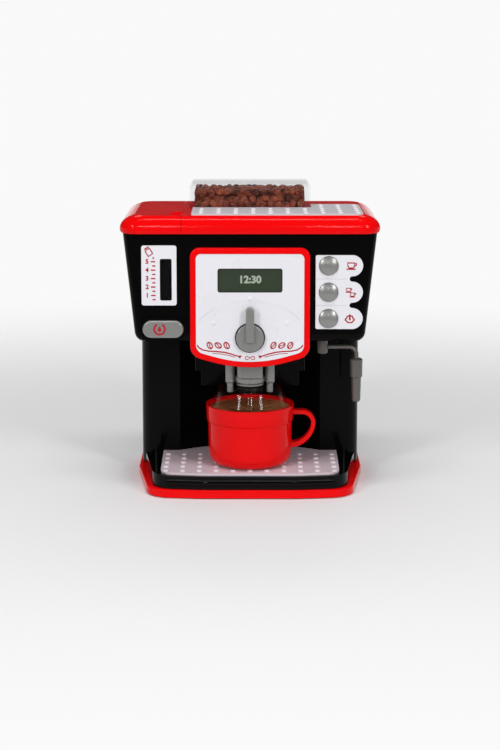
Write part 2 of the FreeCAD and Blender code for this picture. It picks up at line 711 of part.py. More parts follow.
def make_rear_cover():
    body = new_body("RearCover")
    start = s.back_face - s.cover_thick
    face = sketch_on(body, "XZ_Plane", -s.back_face)
    half_low, half_top = s.column_half, s.head_half_top
    outline(face, [
        Corner(half_low, s.plinth_top + s.seam), Corner(half_low, s.head_bottom),
        Corner(half_top, s.head_top - s.seam), Corner(-half_top, s.head_top - s.seam),
        Corner(-half_low, s.head_bottom), Corner(-half_low, s.plinth_top + s.seam)])
    pad(body, face, s.cover_thick)
    # A locating rim runs just inside the column walls.
    rim = sketch_on(body, "XZ_Plane", -start)
    inset = s.wall + s.seam
    rectangle(rim, -half_low + inset, s.plinth_top + RIM_UP, half_low - inset,
              s.head_bottom - RIM_DOWN, 3)
    rectangle(rim, -half_low + inset + s.wall, s.plinth_top + RIM_UP + s.wall,
              half_low - inset - s.wall, s.head_bottom - RIM_DOWN - s.wall, 2)
    pad(body, rim, POST_SET_BACK)
    # Wells take the screw heads; posts carry the main board.
    wells = sketch_on(body, "XZ_Plane", -start)
    for side in (1, -1):
        for x, z, reach in COLUMN_POSTS + HEAD_POSTS:
            ring(wells, side * x, z, s.boss_radius + 0.4)
    pad(body, wells, POST_SET_BACK)
    posts = sketch_on(body, "XZ_Plane", -start)
    for side in (1, -1):
        for z in BOARD_LEVELS:
            ring(posts, side * MAIN_POST_ACROSS, z, MAIN_POST_RADIUS)
    pad(body, posts, BOARD_STAND)
    pits = sketch_on(body, "XZ_Plane", -s.back_face)
    for side in (1, -1):
        for x, z, reach in COLUMN_POSTS + HEAD_POSTS:
            ring(pits, side * x, z, s.screw_radius * 2 + s.seam)
    pocket(body, pits, PIT_DEPTH, along=True)
    holes = sketch_on(body, "XZ_Plane", -s.back_face)
    for side in (1, -1):
        for x, z, reach in COLUMN_POSTS + HEAD_POSTS:
            ring(holes, side * x, z, s.screw_radius + s.seam)
    rectangle(holes, -BAY_HALF, s.cell_middle - BAY_DROP, BAY_HALF, s.cell_middle + BAY_RISE, 2)
    rectangle(holes, SWITCH_ACROSS - SWITCH_HALF, s.cell_middle - 3, SWITCH_ACROSS + SWITCH_HALF,
              s.cell_middle + 3, 1)
    for i in range(-3, 4):
        length = math.sqrt(1 - (i / 4.0) ** 2) * s.speaker_radius * GRILLE_SPREAD
        pill(holes, as_size(0), s.speaker_up + i * GRILLE_PITCH, length, as_size(GRILLE_SLOT))
    pocket(body, holes, s.cover_thick + 2.5, along=True)
    node(body, "rear_cover")
    screws = base_screws()
    for side in (1, -1):
        for i, (x, z, reach) in enumerate(COLUMN_POSTS + HEAD_POSTS):
            label = f"CoverScrew{i}{'L' if side < 0 else 'R'}"
            screws.append(screw(label, side * x, s.back_face - PIT_DEPTH, z, SCREW_LENGTH, "y",
                                False))
    node(group("HousingScrews", screws), "housing_screws")


# Each pair is how far up the skirt a section lies, and how far it has leaned in by then.
CAP_PROFILE = [(0, 0.14), (0.22, 0.03), (0.52, 0.12), (0.8, 0.45), (1, 1)]


def cap_skirt(body, left, inset, kind):
    """The cap's convex skirt: closed sections whose free sides lean in towards the top."""
    low = s.head_top + s.seam
    high = s.cap_top - inset
    sections = []
    for rise, lean in CAP_PROFILE:
        shift = s.cap_slope * lean
        far = s.cap_half - shift - inset
        front = s.cap_front - shift / 2 - inset
        back = s.back_face - shift / 2 - inset
        rounding = s.cap_corner - inset - 4 * lean
        height = low + (high - low) * rise
        sketch = sketch_on(body, "XY_Plane", height)
        if left:
            seam = -s.lid_seam - s.seam - inset
            outline(sketch, [Corner(seam, -front), Corner(seam, back), Corner(-far, back, rounding),
                             Corner(-far, -front, rounding)])
        else:
            seam = inset - s.lid_seam
            outline(sketch, [Corner(seam, -front), Corner(far, -front, rounding),
                             Corner(far, back, rounding), Corner(seam, back)])
        sections.append(sketch)
    return loft(body, sections, kind)


def make_cap():
    body = new_body("Cap")
    cap_skirt(body, False, as_size(0), "AdditiveLoft")
    cap_skirt(body, False, s.wall, "SubtractiveLoft")
    node(body, "top_cap")


NOTCH_PLAY = 0.4
PIN_SPARE = 2.0
DIP_FRONT = 59.0
DIP_BACK = 27.0
DIP_REACH = 12.0


def make_lid():
    body = new_body("Lid")
    cap_skirt(body, True, as_size(0), "AdditiveLoft")
    cap_skirt(body, True, s.wall, "SubtractiveLoft")
    clear = s.lug_width / 2 + s.seam
    for y in LUG_PLACES:
        notch = sketch_on(body, "XZ_Plane", -y - clear)
        rectangle(notch, -s.cap_half - 1, s.head_top - 1, s.wall - s.head_half_top,
                  s.hinge_up + s.lug_radius + NOTCH_PLAY)
        pocket(body, notch, clear * 2, along=True)
        for side in (-1, 1):
            start = -y - clear - s.lug_width if side < 0 else -y + clear
            knuckle = sketch_on(body, "XZ_Plane", start)
            ring(knuckle, -s.hinge_across, s.hinge_up, s.lug_radius)
            pad(body, knuckle, s.lug_width)
    bore = sketch_on(body, "XZ_Plane", s.front_face)
    ring(bore, -s.hinge_across, s.hinge_up, s.pin_radius + s.pin_gap)
    pocket(body, bore, s.front_face + s.back_face)
    # A half-round finger dip beside the seam.
    dip = sketch_on(body, "XY_Plane", s.cap_top)
    edge = -s.lid_seam - s.seam + 1
    outline(dip, [Corner(edge, -DIP_FRONT), Corner(edge, -DIP_BACK, via=(
        edge - DIP_REACH, -(DIP_FRONT + DIP_BACK) / 2))])
    pocket(body, dip, s.wall * 0.6)
    node(body, "tank_lid")
    reach = s.lug_spread + s.lug_width * 3 + PIN_SPARE
    node(cylinder("HingePin", s.pin_radius, reach, -s.hinge_across, LUG_MIDDLE - reach / 2,
                  s.hinge_up, "y"), "lid_hinge_pin")


def make_warm_plate():
    body = new_body("WarmPlate")
    plan = sketch_on(body, "XY_Plane", s.cap_top)
    outline(plan, [
        Corner(-s.warm_left, -s.warm_front, 2), Corner(s.warm_right, -s.warm_front, 8),
        Corner(s.warm_right, s.warm_back, 8), Corner(s.hopper_half + s.seam, s.warm_back),
        Corner(s.hopper_half + s.seam, -s.hopper_front - s.seam),
        Corner(-s.warm_left, -s.hopper_front - s.seam)])
    pad(body, plan, s.warm_thick)
    node(body, "cup_plate")


def make_hopper():
    body = new_body("Hopper")
    plan = sketch_on(body, "XY_Plane", s.cap_top)
    rectangle(plan, -s.hopper_half, -s.hopper_front, s.hopper_half, s.hopper_back, 6)
    pad(body, plan, s.hopper_top - s.cap_top)
    round_edges(body, 3, lambda edge: near(edge.BoundBox.ZMin, s.hopper_top))
    shell(body, s.hopper_wall, lambda face: near(face.BoundBox.ZMax, s.cap_top))
    node(body, "hopper_cover")
    beans = new_body("Beans")
    inset = s.hopper_wall + s.bean_gap
    plan = sketch_on(beans, "XY_Plane", s.cap_top)
    rectangle(plan, inset - s.hopper_half, inset - s.hopper_front, s.hopper_half - inset,
              s.hopper_back - inset, 5)
    pad(beans, plan, s.hopper_top - s.cap_top - inset)
    round_edges(beans, 2.5, lambda edge: near(edge.BoundBox.ZMin, s.hopper_top - inset))
    node(beans, "bean_insert")


# Central face

def face_outline(sketch, inset):
    half = s.face_half - inset
    low = s.face_side_low + inset * 0.8
    shoulder = s.face_shoulder_half - inset * 0.3
    outline(sketch, [
        Corner(half, s.face_top - inset, s.face_corner - inset * 0.7),
        Corner(-half, s.face_top - inset, s.face_corner - inset * 0.7),
        Corner(-half, low, s.face_low_corner - inset * 0.8),
        Corner(-shoulder, s.face_shoulder + inset, via=(0, s.face_low + inset)),
        Corner(shoulder, s.face_shoulder + inset),
        Corner(half, low, s.face_low_corner - inset * 0.8)])


PANEL_PLAY = 0.15
BEZEL_EDGE = 1.5
CARD_THICK = 0.3
LENS_PLAY = 0.2
LAMP_PITCH = 16
ARC_HALF = 45.0
ARC_LOW = 160.1
ARC_HIGH = 176.2
ARC_WIDE = 1.0
ARC_PROUD = 0.15
RECESS = s.panel_thick + 0.2
PANEL_BACK = s.front_face + s.face_proud - RECESS
PANEL_FRONT = PANEL_BACK + s.panel_thick
PLATE_BACK = PANEL_BACK - 1.5
LAMP_FRONT = s.front_face + 1.6


def make_face():
    bezel = new_body("Bezel")
    front = s.front_face + s.face_proud
    whole = sketch_on(bezel, "XZ_Plane", s.front_face)
    face_outline(whole, as_size(0))
    pad(bezel, whole, s.face_proud)
    round_edges(bezel, BEZEL_EDGE, lambda edge: near(edge.BoundBox.YMax, -front))
    recess = sketch_on(bezel, "XZ_Plane", front)
    face_outline(recess, s.bezel_width)
    pocket(bezel, recess, RECESS)
    hollow = sketch_on(bezel, "XZ_Plane", s.front_face)
    face_outline(hollow, s.wall)
    pocket(bezel, hollow, PLATE_BACK - s.front_face, along=True)
    stands = sketch_on(bezel, "XZ_Plane", LAMP_FRONT)
    for side in (1, -1):
        for z in (s.window_low + 1, s.window_high + 1.5):
            ring(stands, side * 26.5, z, 1.4)
    pad(bezel, stands, PLATE_BACK - LAMP_FRONT)
    holes = sketch_on(bezel, "XZ_Plane", front)
    rectangle(holes, 4.5 - s.window_half, s.window_low + 2.5, s.window_half - 4.5,
              s.window_high - 2.5, 1)
    ring(holes, 0, s.knob_height, s.shaft_radius + 0.4)
    pocket(bezel, holes, s.face_proud)
    node(bezel, "face_bezel")

    panel = new_body("Panel")
    plate = sketch_on(panel, "XZ_Plane", PANEL_BACK)
    face_outline(plate, s.bezel_width + PANEL_PLAY)
    rectangle(plate, -s.window_half, s.window_low, s.window_half, s.window_high, s.window_corner)
    ring(plate, 0, s.knob_height, s.shaft_radius + s.shaft_gap)
    pad(panel, plate, s.panel_thick)
    # A raised arc marks the knob's travel.
    relief = sketch_on(panel, "XZ_Plane", PANEL_FRONT)
    outline(relief, [Corner(-ARC_HALF, ARC_LOW, via=(0, ARC_HIGH)), Corner(ARC_HALF, ARC_LOW),
                     Corner(ARC_HALF, ARC_LOW + ARC_WIDE, via=(0, ARC_HIGH + ARC_WIDE)),
                     Corner(-ARC_HALF, ARC_LOW + ARC_WIDE)])
    pad(panel, relief, ARC_PROUD)
    node(panel, "face_panel")

    card_front = PANEL_BACK + CARD_THICK
    card = new_body("Card")
    plate = sketch_on(card, "XZ_Plane", PANEL_BACK)
    rectangle(plate, LENS_PLAY - s.window_half, s.window_low + LENS_PLAY,
              s.window_half - LENS_PLAY, s.window_high - LENS_PLAY, s.window_corner)
    pad(card, plate, CARD_THICK)
    node(card, "display_card")
    lens = new_body("Lens")
    plate = sketch_on(lens, "XZ_Plane", card_front)
    rectangle(plate, LENS_PLAY - s.window_half, s.window_low + LENS_PLAY,
              s.window_half - LENS_PLAY, s.window_high - LENS_PLAY, s.window_corner)
    pad(lens, plate, PANEL_FRONT - card_front - CARD_THICK)
    node(lens, "display_window")

    board = box("LampBoard", (-s.window_half, -LAMP_FRONT, s.window_low - 1),
                (s.window_half, 0.2 - s.front_face - 0.4, s.window_high + 3.5))
    lamps = [cylinder(f"Lamp{i}", 1.5, 1.8, i * LAMP_PITCH, -LAMP_FRONT - 1.8,
                      (s.window_low + s.window_high) / 2, "y") for i in (-1, 0, 1)]
    node(fuse("Lamps", [board] + lamps), "display_lamps")


KNOB_PLAY = 0.35
KNOB_EDGE = 1.0
FIN_EDGE = 0.8
FIN_SUNK = 0.3


def make_knob():
    start = PANEL_FRONT + KNOB_PLAY
    knob = new_body("Knob")
    disc = sketch_on(knob, "XZ_Plane", start)
    ring(disc, 0, 0, s.knob_radius)
    pad(knob, disc, s.knob_thick)
    round_edges(knob, KNOB_EDGE, lambda edge: near(edge.BoundBox.YMax, -(start + s.knob_thick)))
    fin = sketch_on(knob, "XZ_Plane", start + FIN_SUNK)
    top = s.fin_reach
    outline(fin, [Corner(-s.fin_half, -s.fin_half), Corner(s.fin_half, -s.fin_half),
                  Corner(s.fin_half, top - s.fin_half, via=(0, top)),
                  Corner(-s.fin_half, top - s.fin_half)])
    pad(knob, fin, s.knob_thick + s.fin_proud - FIN_SUNK)
    round_edges(knob, FIN_EDGE, lambda edge: near(edge.BoundBox.YMax,
                                                  -(start + s.knob_thick + s.fin_proud)))
    shaft = sketch_on(knob, "XZ_Plane", start)
    ring(shaft, 0, 0, s.shaft_radius)
    pad(knob, shaft, start - s.front_face - 0.5, backwards=True)
    place(knob, 0, 0, s.knob_height)
    node(knob, "selector_knob")
    node(tube("Wiper", 8, s.shaft_radius, 0.8, 0, 0.2 - PLATE_BACK, s.knob_height, "y"),
         "selector_wiper")
    board = box("ContactBoard", (-14, -s.front_face - 1.1, s.knob_height - 9),
                (14, -s.front_face, s.knob_height + 13))
    hole = cylinder("ContactBore", s.shaft_radius + s.shaft_gap, 4, 0, -s.front_face - 3,
                    s.knob_height, "y")
    node(cut("SelectorBoard", board, hole), "selector_board")


# Water gauge, tank, valve and water button

WINDOW_PLAY = 0.15
WINDOW_SUNK = 0.4
SLOT_CORNER = 1.5


def make_gauge():
    panel = new_body("GaugePanel")
    plate = sketch_on(panel, "XZ_Plane", s.front_face)
    rectangle(plate, -s.gauge_left, s.gauge_low, -s.gauge_right, s.gauge_high, 2)
    rectangle(plate, -s.slot_left, s.slot_low, -s.slot_right, s.slot_high, SLOT_CORNER)
    pad(panel, plate, s.trim_thick)
    node(panel, "level_panel")
    window = new_body("GaugeWindow")
    inside = s.front_face - s.wall - 0.2
    plate = sketch_on(window, "XZ_Plane", inside)
    fit = WINDOW_PLAY
    rectangle(plate, fit - s.slot_left, s.slot_low + fit, -s.slot_right - fit, s.slot_high - fit,
              SLOT_CORNER)
    pad(window, plate, s.front_face + s.trim_thick - WINDOW_SUNK - inside)
    node(window, "level_window")


TANK_FRONT = s.front_face - s.wall - 0.5
TANK_DRAIN = -s.spout_depth
TANK_BACK = 20
TANK_CLEAR = 1.5
DRAIN_RADIUS = 3.5
DRAIN_BORE = 2.0
VALVE_HALF = s.stem_radius + s.valve_wall
PILL_BACK = s.front_face - 1.5
HOSE_RADIUS = 3.0
HOSE_BORE = 1.8
CROSS_RADIUS = 4.0
LEG_BORE = 1.6


def make_tank():
    tank = new_body("Tank")
    plan = sketch_on(tank, "XY_Plane", s.tank_low)
    rectangle(plan, -s.column_half + 0.5, -TANK_FRONT, TANK_CLEAR - s.gauge_right, TANK_BACK, 6)
    pad(tank, plan, s.head_top - TANK_CLEAR - s.tank_low)
    shell(tank, s.tank_wall, lambda face: near(face.BoundBox.ZMin, s.head_top - TANK_CLEAR))
    drain = sketch_on(tank, "XY_Plane", s.pill_up + VALVE_HALF)
    ring(drain, -s.pill_across, TANK_DRAIN, DRAIN_RADIUS)
    pad(tank, drain, s.tank_low - s.pill_up - VALVE_HALF + s.tank_wall / 2)
    bore = sketch_on(tank, "XY_Plane", s.tank_low + s.tank_wall)
    ring(bore, -s.pill_across, TANK_DRAIN, DRAIN_BORE)
    pocket(tank, bore, s.tank_low - s.pill_up)
    node(tank, "water_tank")

    low, high = s.pill_up - VALVE_HALF, s.pill_up + VALVE_HALF
    bore_end = s.water_travel + 5 - s.stem_end
    block = box("ValveBlock", (-s.pill_across - VALVE_HALF, -s.valve_front, low),
                (VALVE_HALF - s.pill_across, bore_end + 2, high))
    foot = box("ValveFoot", (-s.pill_across - 5, -40, s.head_bottom + s.wall),
               (5 - s.pill_across, -28, low))
    bore = cylinder("ValveBore", s.stem_radius + s.shaft_gap, s.valve_front + bore_end, -s.pill_across,
                    -s.valve_front, s.pill_up, "y")
    inlet = cylinder("ValveInlet", DRAIN_BORE, VALVE_HALF, -s.pill_across, TANK_DRAIN, s.pill_up)
    outlet = cylinder("ValveOutlet", HOSE_BORE, VALVE_HALF, -s.pill_across, TANK_DRAIN, s.pill_up, "x")
    node(cut("Valve", fuse("ValveWhole", [block, foot]), fuse("ValveWays", [bore, inlet, outlet])),
         "valve_body")
    node(tube("ValveSpring", 4.8, 3.1, PILL_BACK - s.valve_front, -s.pill_across, -PILL_BACK,
              s.pill_up, "y"), "valve_spring")
    reach = s.spout_across + s.spout_radius
    hose_start = VALVE_HALF - s.pill_across
    node(tube("Hose", HOSE_RADIUS, HOSE_BORE, -reach - hose_start, hose_start, TANK_DRAIN, s.pill_up, "x"),
         "water_hose")
    cross = cylinder("Cross", CROSS_RADIUS, reach * 2, -reach, TANK_DRAIN, s.pill_up, "x")
    legs = [cylinder(f"Leg{i}", s.spout_radius - 0.8, s.pill_up - s.head_bottom,
                     i * s.spout_across, TANK_DRAIN, s.head_bottom) for i in (-1, 1)]
    ways = [cylinder(f"Way{i}", LEG_BORE, s.pill_up - s.head_bottom, i * s.spout_across, TANK_DRAIN,
                     s.head_bottom) for i in (-1, 1)]
    way = cylinder("CrossWay", HOSE_BORE, reach + s.spout_across, -reach, TANK_DRAIN, s.pill_up, "x")
    node(cut("Manifold", fuse("ManifoldWhole", [cross] + legs), fuse("ManifoldWays", ways + [way])),
         "water_manifold")


PILL_EDGE = 1.6


def make_water_button():
    button = new_body("WaterButton")
    plate = sketch_on(button, "XZ_Plane", PILL_BACK)
    pill(plate, as_size(0), as_size(0), s.pill_length, s.pill_height)
    pad(button, plate, s.front_face + s.pill_proud - PILL_BACK)
    round_edges(button, PILL_EDGE, lambda edge: near(edge.BoundBox.YMax,
                                                     -(s.front_face + s.pill_proud)))
    stem = sketch_on(button, "XZ_Plane", PILL_BACK)
    ring(stem, 0, 0, s.stem_radius)
    pad(button, stem, PILL_BACK - s.stem_end, backwards=True)
    place(button, -s.pill_across, 0, s.pill_up)
    node(button, "water_button")
    rim = new_body("ButtonRim")
    plate = sketch_on(rim, "XZ_Plane", s.front_face)
    gap = s.button_gap * 2
    pill(plate, as_size(0), as_size(0), s.pill_length + gap + s.rim_width * 2,
         s.pill_height + gap + s.rim_width * 2)
    pill(plate, as_size(0), as_size(0), s.pill_length + gap, s.pill_height + gap)
    pad(rim, plate, s.rim_width)
    place(rim, -s.pill_across, 0, s.pill_up)
    node(rim, "button_rim")


# Three push buttons

FLANGE = 1.4
SPRING_RADIUS = 5.4
DOME_RADIUS = 2.8


def make_keys():
    panel = new_body("KeyPanel")
    plate = sketch_on(panel, "XZ_Plane", s.front_face)
    corners = [Corner(s.keys_left, key_height(0) - s.lobe_radius, 1.5)]
    notch = s.key_pitch / 2 - s.lobe_radius
    for i in range(len(KEYS)):
        z = key_height(i)
        corners.append(Corner(s.lobe_across, z - s.lobe_radius, via=(s.lobe_across + s.lobe_radius, z)))
        if i < len(KEYS) - 1:
            corners.append(Corner(s.lobe_across, z + s.lobe_radius,
                                  via=(s.lobe_across - notch, z + s.key_pitch / 2)))
    corners.append(Corner(s.lobe_across, key_height(2) + s.lobe_radius))
    corners.append(Corner(s.keys_left, key_height(2) + s.lobe_radius, 1.5))
    outline(plate, corners)
    for i in range(len(KEYS)):
        ring(plate, s.key_across, key_height(i), s.key_radius + s.button_gap)
    pad(panel, plate, s.trim_thick)
    node(panel, "button_panel")

    crown = -s.front_face - s.key_proud
    flange = s.wall + 0.3 - s.front_face
    stem_end = -s.board_depth - CONTACT_RISE - s.key_travel - KEY_PLAY
    for i, name in enumerate(KEYS):
        key = new_body("Key" + name)
        half = sketch_on(key, "YZ_Plane")
        outline(half, [
            Corner(crown, 0), Corner(crown, 0.8, via=(crown + 0.6, s.key_radius * 0.55)),
            Corner(crown + 2, s.key_radius), Corner(flange, s.key_radius),
            Corner(flange, s.key_radius + FLANGE), Corner(flange + FLANGE, s.key_radius + FLANGE),
            Corner(flange + FLANGE, s.shaft_radius), Corner(stem_end, s.shaft_radius),
            Corner(stem_end, 0)])
        turn(key, half, axis="H_Axis")
        place(key, s.key_across, 0, key_height(i))
        node(key, "button_" + name)
        node(tube("KeySpring" + name, SPRING_RADIUS, s.shaft_radius + 0.4,
                  -s.board_depth - flange - FLANGE, s.key_across, flange + FLANGE, key_height(i),
                  "y"), "spring_" + name)
    board = box("KeyBoard", (BOARD_LEFT, -s.board_depth, BOARD_LOW),
                (BOARD_RIGHT, s.board_thick - s.board_depth, BOARD_HIGH))
    domes = [cylinder("Contact" + name, DOME_RADIUS, CONTACT_RISE, s.key_across,
                      -s.board_depth - CONTACT_RISE, key_height(i), "y")
             for i, name in enumerate(KEYS)]
    node(fuse("SwitchBoard", [board] + domes), "switch_board")


# Spouts, splash dome and steam wand

def make_group():
    block = new_body("Block")
    middle, low = s.ring_low + 10, s.dome_top - 8.5
    wide, narrow = s.niche_half - 15, s.niche_half - 19
    front = s.spout_depth - 12
    # Each step: its bottom, its top, half its width, its front and where its side meets the curve.
    steps = ((middle, s.head_bottom, wide, -front, 24.6), (low, middle, narrow, as_size(8), 27))
    for bottom, top, half, start, edge in steps:
        plan = sketch_on(block, "XY_Plane", bottom)
        outline(plan, [Corner(half, start, 3), Corner(half, edge, via=(0, s.niche_back - s.seam)),
                       Corner(-half, edge), Corner(-half, start, 3)])
        pad(block, plan, top - bottom)
    hollow = sketch_on(block, "XY_Plane", s.head_bottom)
    wall = 3.0
    rectangle(hollow, wall - wide, wall - front, wide - wall, 21, 2)
    pocket(block, hollow, s.head_bottom - middle - s.wall)
    node(block, "group_block")

    head = new_body("GroupHead")
    plan = sketch_on(head, "XY_Plane", s.ring_low + 8)
    rectangle(plan, -11.5, -s.spout_depth - 12, 11.5, -front, 4)
    pad(head, plan, s.head_bottom - s.ring_low - 8)
    node(head, "group_head")

    rings = new_body("Rings")
    half = sketch_on(rings, "XZ_Plane")
    r = s.ring_radius
    outline(half, [Corner(0, 0), Corner(r - 1.5, 0), Corner(r - 1, 0.5), Corner(r - 1, 1.7),
                   Corner(r - 2.4, 2.2), Corner(r - 2.4, 2.9), Corner(r, 3.4), Corner(r, 7),
                   Corner(r - 0.8, 8), Corner(0, 8)])
    turn(rings, half)
    place(rings, 0, -s.spout_depth, s.ring_low)
    node(rings, "group_ring")

    for side, name in ((-1, "left_spout"), (1, "right_spout")):
        spout = new_body(name.title().replace("_", ""))
        half = sketch_on(spout, "XZ_Plane")
        bore = s.nozzle_radius - 1.25
        outline(half, [
            Corner(bore, s.nozzle_low), Corner(s.nozzle_radius - 0.4, s.nozzle_low),
            Corner(s.nozzle_radius, s.nozzle_low + 0.4), Corner(s.nozzle_radius, s.spout_low - 1.4),
            Corner(s.spout_radius - 0.7, s.spout_low - 1.4), Corner(s.spout_radius, s.spout_low),
            Corner(s.spout_radius, s.head_bottom), Corner(bore, s.head_bottom)])
        turn(spout, half)
        place(spout, side * s.spout_across, -s.spout_depth, 0)
        node(spout, name)

    dome = new_body("Dome")
    half = sketch_on(dome, "XZ_Plane")
    top, low, wall = s.dome_top, s.dome_low, s.dome_wall
    edge, foot = s.dome_half_top, s.dome_half_low
    outline(half, [
        Corner(8, s.ring_low), Corner(12, s.ring_low), Corner(12, top), Corner(edge - 3, top,
               via=(edge + 0.3, top - 1.2)), Corner(edge + 2.4, top - 4.6), Corner(foot, low),
        Corner(foot - wall, low), Corner(edge + 1, top - 4.6 - wall / 2,
                                         via=(edge - 0.7, top - 1.2 - wall)),
        Corner(edge - 3.4, top - wall), Corner(8, top - wall)])
    turn(dome, half)
    holes = sketch_on(dome, "XY_Plane", top + 1)
    for side in (1, -1):
        ring(holes, side * s.spout_across, 0, s.nozzle_radius + s.seam)
    pocket(dome, holes, 4)
    place(dome, 0, -s.spout_depth, 0)
    node(dome, "splash_dome")


def make_wand():
    x, y = s.wand_across, -s.wand_depth
    pivot = s.stem_radius
    node(tube("WandCollar", s.knuckle_radius + 0.8, pivot + s.shaft_gap, 1.7, x, y,
              s.head_bottom - 1.7), "wand_collar")
    knuckle = new_body("Knuckle")
    half = sketch_on(knuckle, "XZ_Plane")
    top = s.head_bottom - 2
    low = s.wand_level - 5.9
    r = s.knuckle_radius
    snap = s.head_bottom + s.wall + s.seam
    outline(half, [Corner(0, low), Corner(r - 1, low), Corner(r, low + 1), Corner(r, top),
                   Corner(pivot, top), Corner(pivot, snap), Corner(pivot + 1.1, snap),
                   Corner(pivot + 1.1, snap + 0.8), Corner(pivot - 0.6, snap + 3),
                   Corner(0, snap + 3)])
    turn(knuckle, half)
    place(knuckle, x, y, 0)
    node(knuckle, "wand_knuckle")

    pipe = new_body("Pipe")
    start = s.knuckle_radius - 0.1
    bend = s.wand_bend
    path = sketch_on(pipe, "XZ_Plane")
    reach, level = s.wand_reach, s.wand_level
    outline(path, [Corner(start, level),
                   Corner(reach - bend, level,
                          via=(reach - bend * (1 - ROOT_HALF), level - bend * (1 - ROOT_HALF))),
                   Corner(reach, level - bend), Corner(reach, s.sleeve_high - 2)], closed=False)
    section = sketch_on(pipe, "YZ_Plane", start)
    ring(section, 0, level, s.wand_tube)
    sweep = pipe.newObject("PartDesign::AdditivePipe", "PipeSweep")
    sweep.Profile = section
    sweep.Spine = (path, [])
    place(pipe, x, y, 0)
    node(pipe, "wand_pipe")

    tip = new_body("Tip")
    half = sketch_on(tip, "XZ_Plane")
    r, low, high = s.sleeve_radius, s.sleeve_low, s.sleeve_high
    end = s.tip_low
    outline(half, [
        Corner(s.wand_tube, high - 2), Corner(s.wand_tube, high), Corner(r - 1.2, high),
        Corner(r, high - 1.2), Corner(r - 0.2, low), Corner(r - 1.2, low - 0.8),
        Corner(3.9, end + 3.5, via=(3.0, end + 1.0)),
        Corner(1.0, end), Corner(0, end), Corner(0, high - 2)])
    turn(tip, half)
    place(tip, x + reach, y, 0)
    node(tip, "wand_tip")


# Mug

MUG_FLOOR = s.tray_top + s.plate_thick + s.pip_height
BAND_DROP = 15
HANDLE_CURVE = 12.0
BOW_IN = 6.7
BOW_UP = 6.1
BOW_INNER = 0.75
COFFEE_THICK = 1.2


def make_mug():
    mug = new_body("Mug")
    half = sketch_on(mug, "XZ_Plane")
    rim, high, waist, foot = s.mug_rim, s.mug_high, s.mug_waist, s.mug_foot
    band = high - BAND_DROP
    outline(half, [
        Corner(0, 0), Corner(foot, 0, via=(foot + 4.6, 3.2)), Corner(waist - 0.6, 11),
        Corner(waist, band), Corner(waist + 1.1, band + 1.2), Corner(rim, high), Corner(0, high)])
    turn(mug, half)
    handle = sketch_on(mug, "XZ_Plane")
    reach, top, low = s.handle_reach, s.handle_high, s.handle_low
    thick = s.handle_thick
    root = waist - 2
    curve = HANDLE_CURVE
    outline(handle, [
        Corner(root, top), Corner(root, low - 1),
        Corner(waist + 2, low - 1, via=(reach - BOW_IN, low + BOW_UP)),
        Corner(reach, top - curve, via=(reach - curve * (1 - ROOT_HALF), top - curve * (1 - ROOT_HALF))),
        Corner(reach - curve, top)])
    hole = thick
    outline(handle, [
        Corner(root + 1, top - hole), Corner(root + 1, low + hole),
        Corner(waist + 2, low + hole, via=(reach - BOW_IN - hole * BOW_INNER,
                                           low + BOW_UP + hole * BOW_INNER)),
        Corner(reach - hole, top - curve, via=(reach - hole - (curve - hole) * (1 - ROOT_HALF),
                                               top - hole - (curve - hole) * (1 - ROOT_HALF))),
        Corner(reach - curve, top - hole)])
    pad(mug, handle, s.handle_half * 2, both=True)
    inner = sketch_on(mug, "XZ_Plane")
    ledge = high - s.coffee_depth - COFFEE_THICK
    wall = s.mug_wall
    outline(inner, [
        Corner(0, wall), Corner(foot - wall, wall, via=(foot + 1.6, 4.6)),
        Corner(waist - 0.9 - wall, 12), Corner(waist - wall - 1.2, ledge),
        Corner(waist - wall, ledge), Corner(rim - wall, high + 1), Corner(0, high + 1)])
    turn(mug, inner, "Groove")
    place(mug, 0, -s.spout_depth, MUG_FLOOR)
    node(mug, "mug")
    node(cylinder("Coffee", waist - wall - 0.3, COFFEE_THICK, 0, -s.spout_depth, MUG_FLOOR + ledge),
         "coffee_disc")


# Power and sound

BAY_HALF = s.cell_length / 2 + 4
BAY_DROP = 26.0
BAY_RISE = 33.0
SWITCH_ACROSS = 42.0
BOARD_LEVELS = (148.0, 167.0)
BOARD_STAND = 12.0
ROOM_HALF = 24.5
BAY_WALL = 2.0
DOOR_SCREW_UP = 28.7
NUB_LENGTH = 1.5
CONTACT_HALF = 5
WELL_DEPTH = 1.2


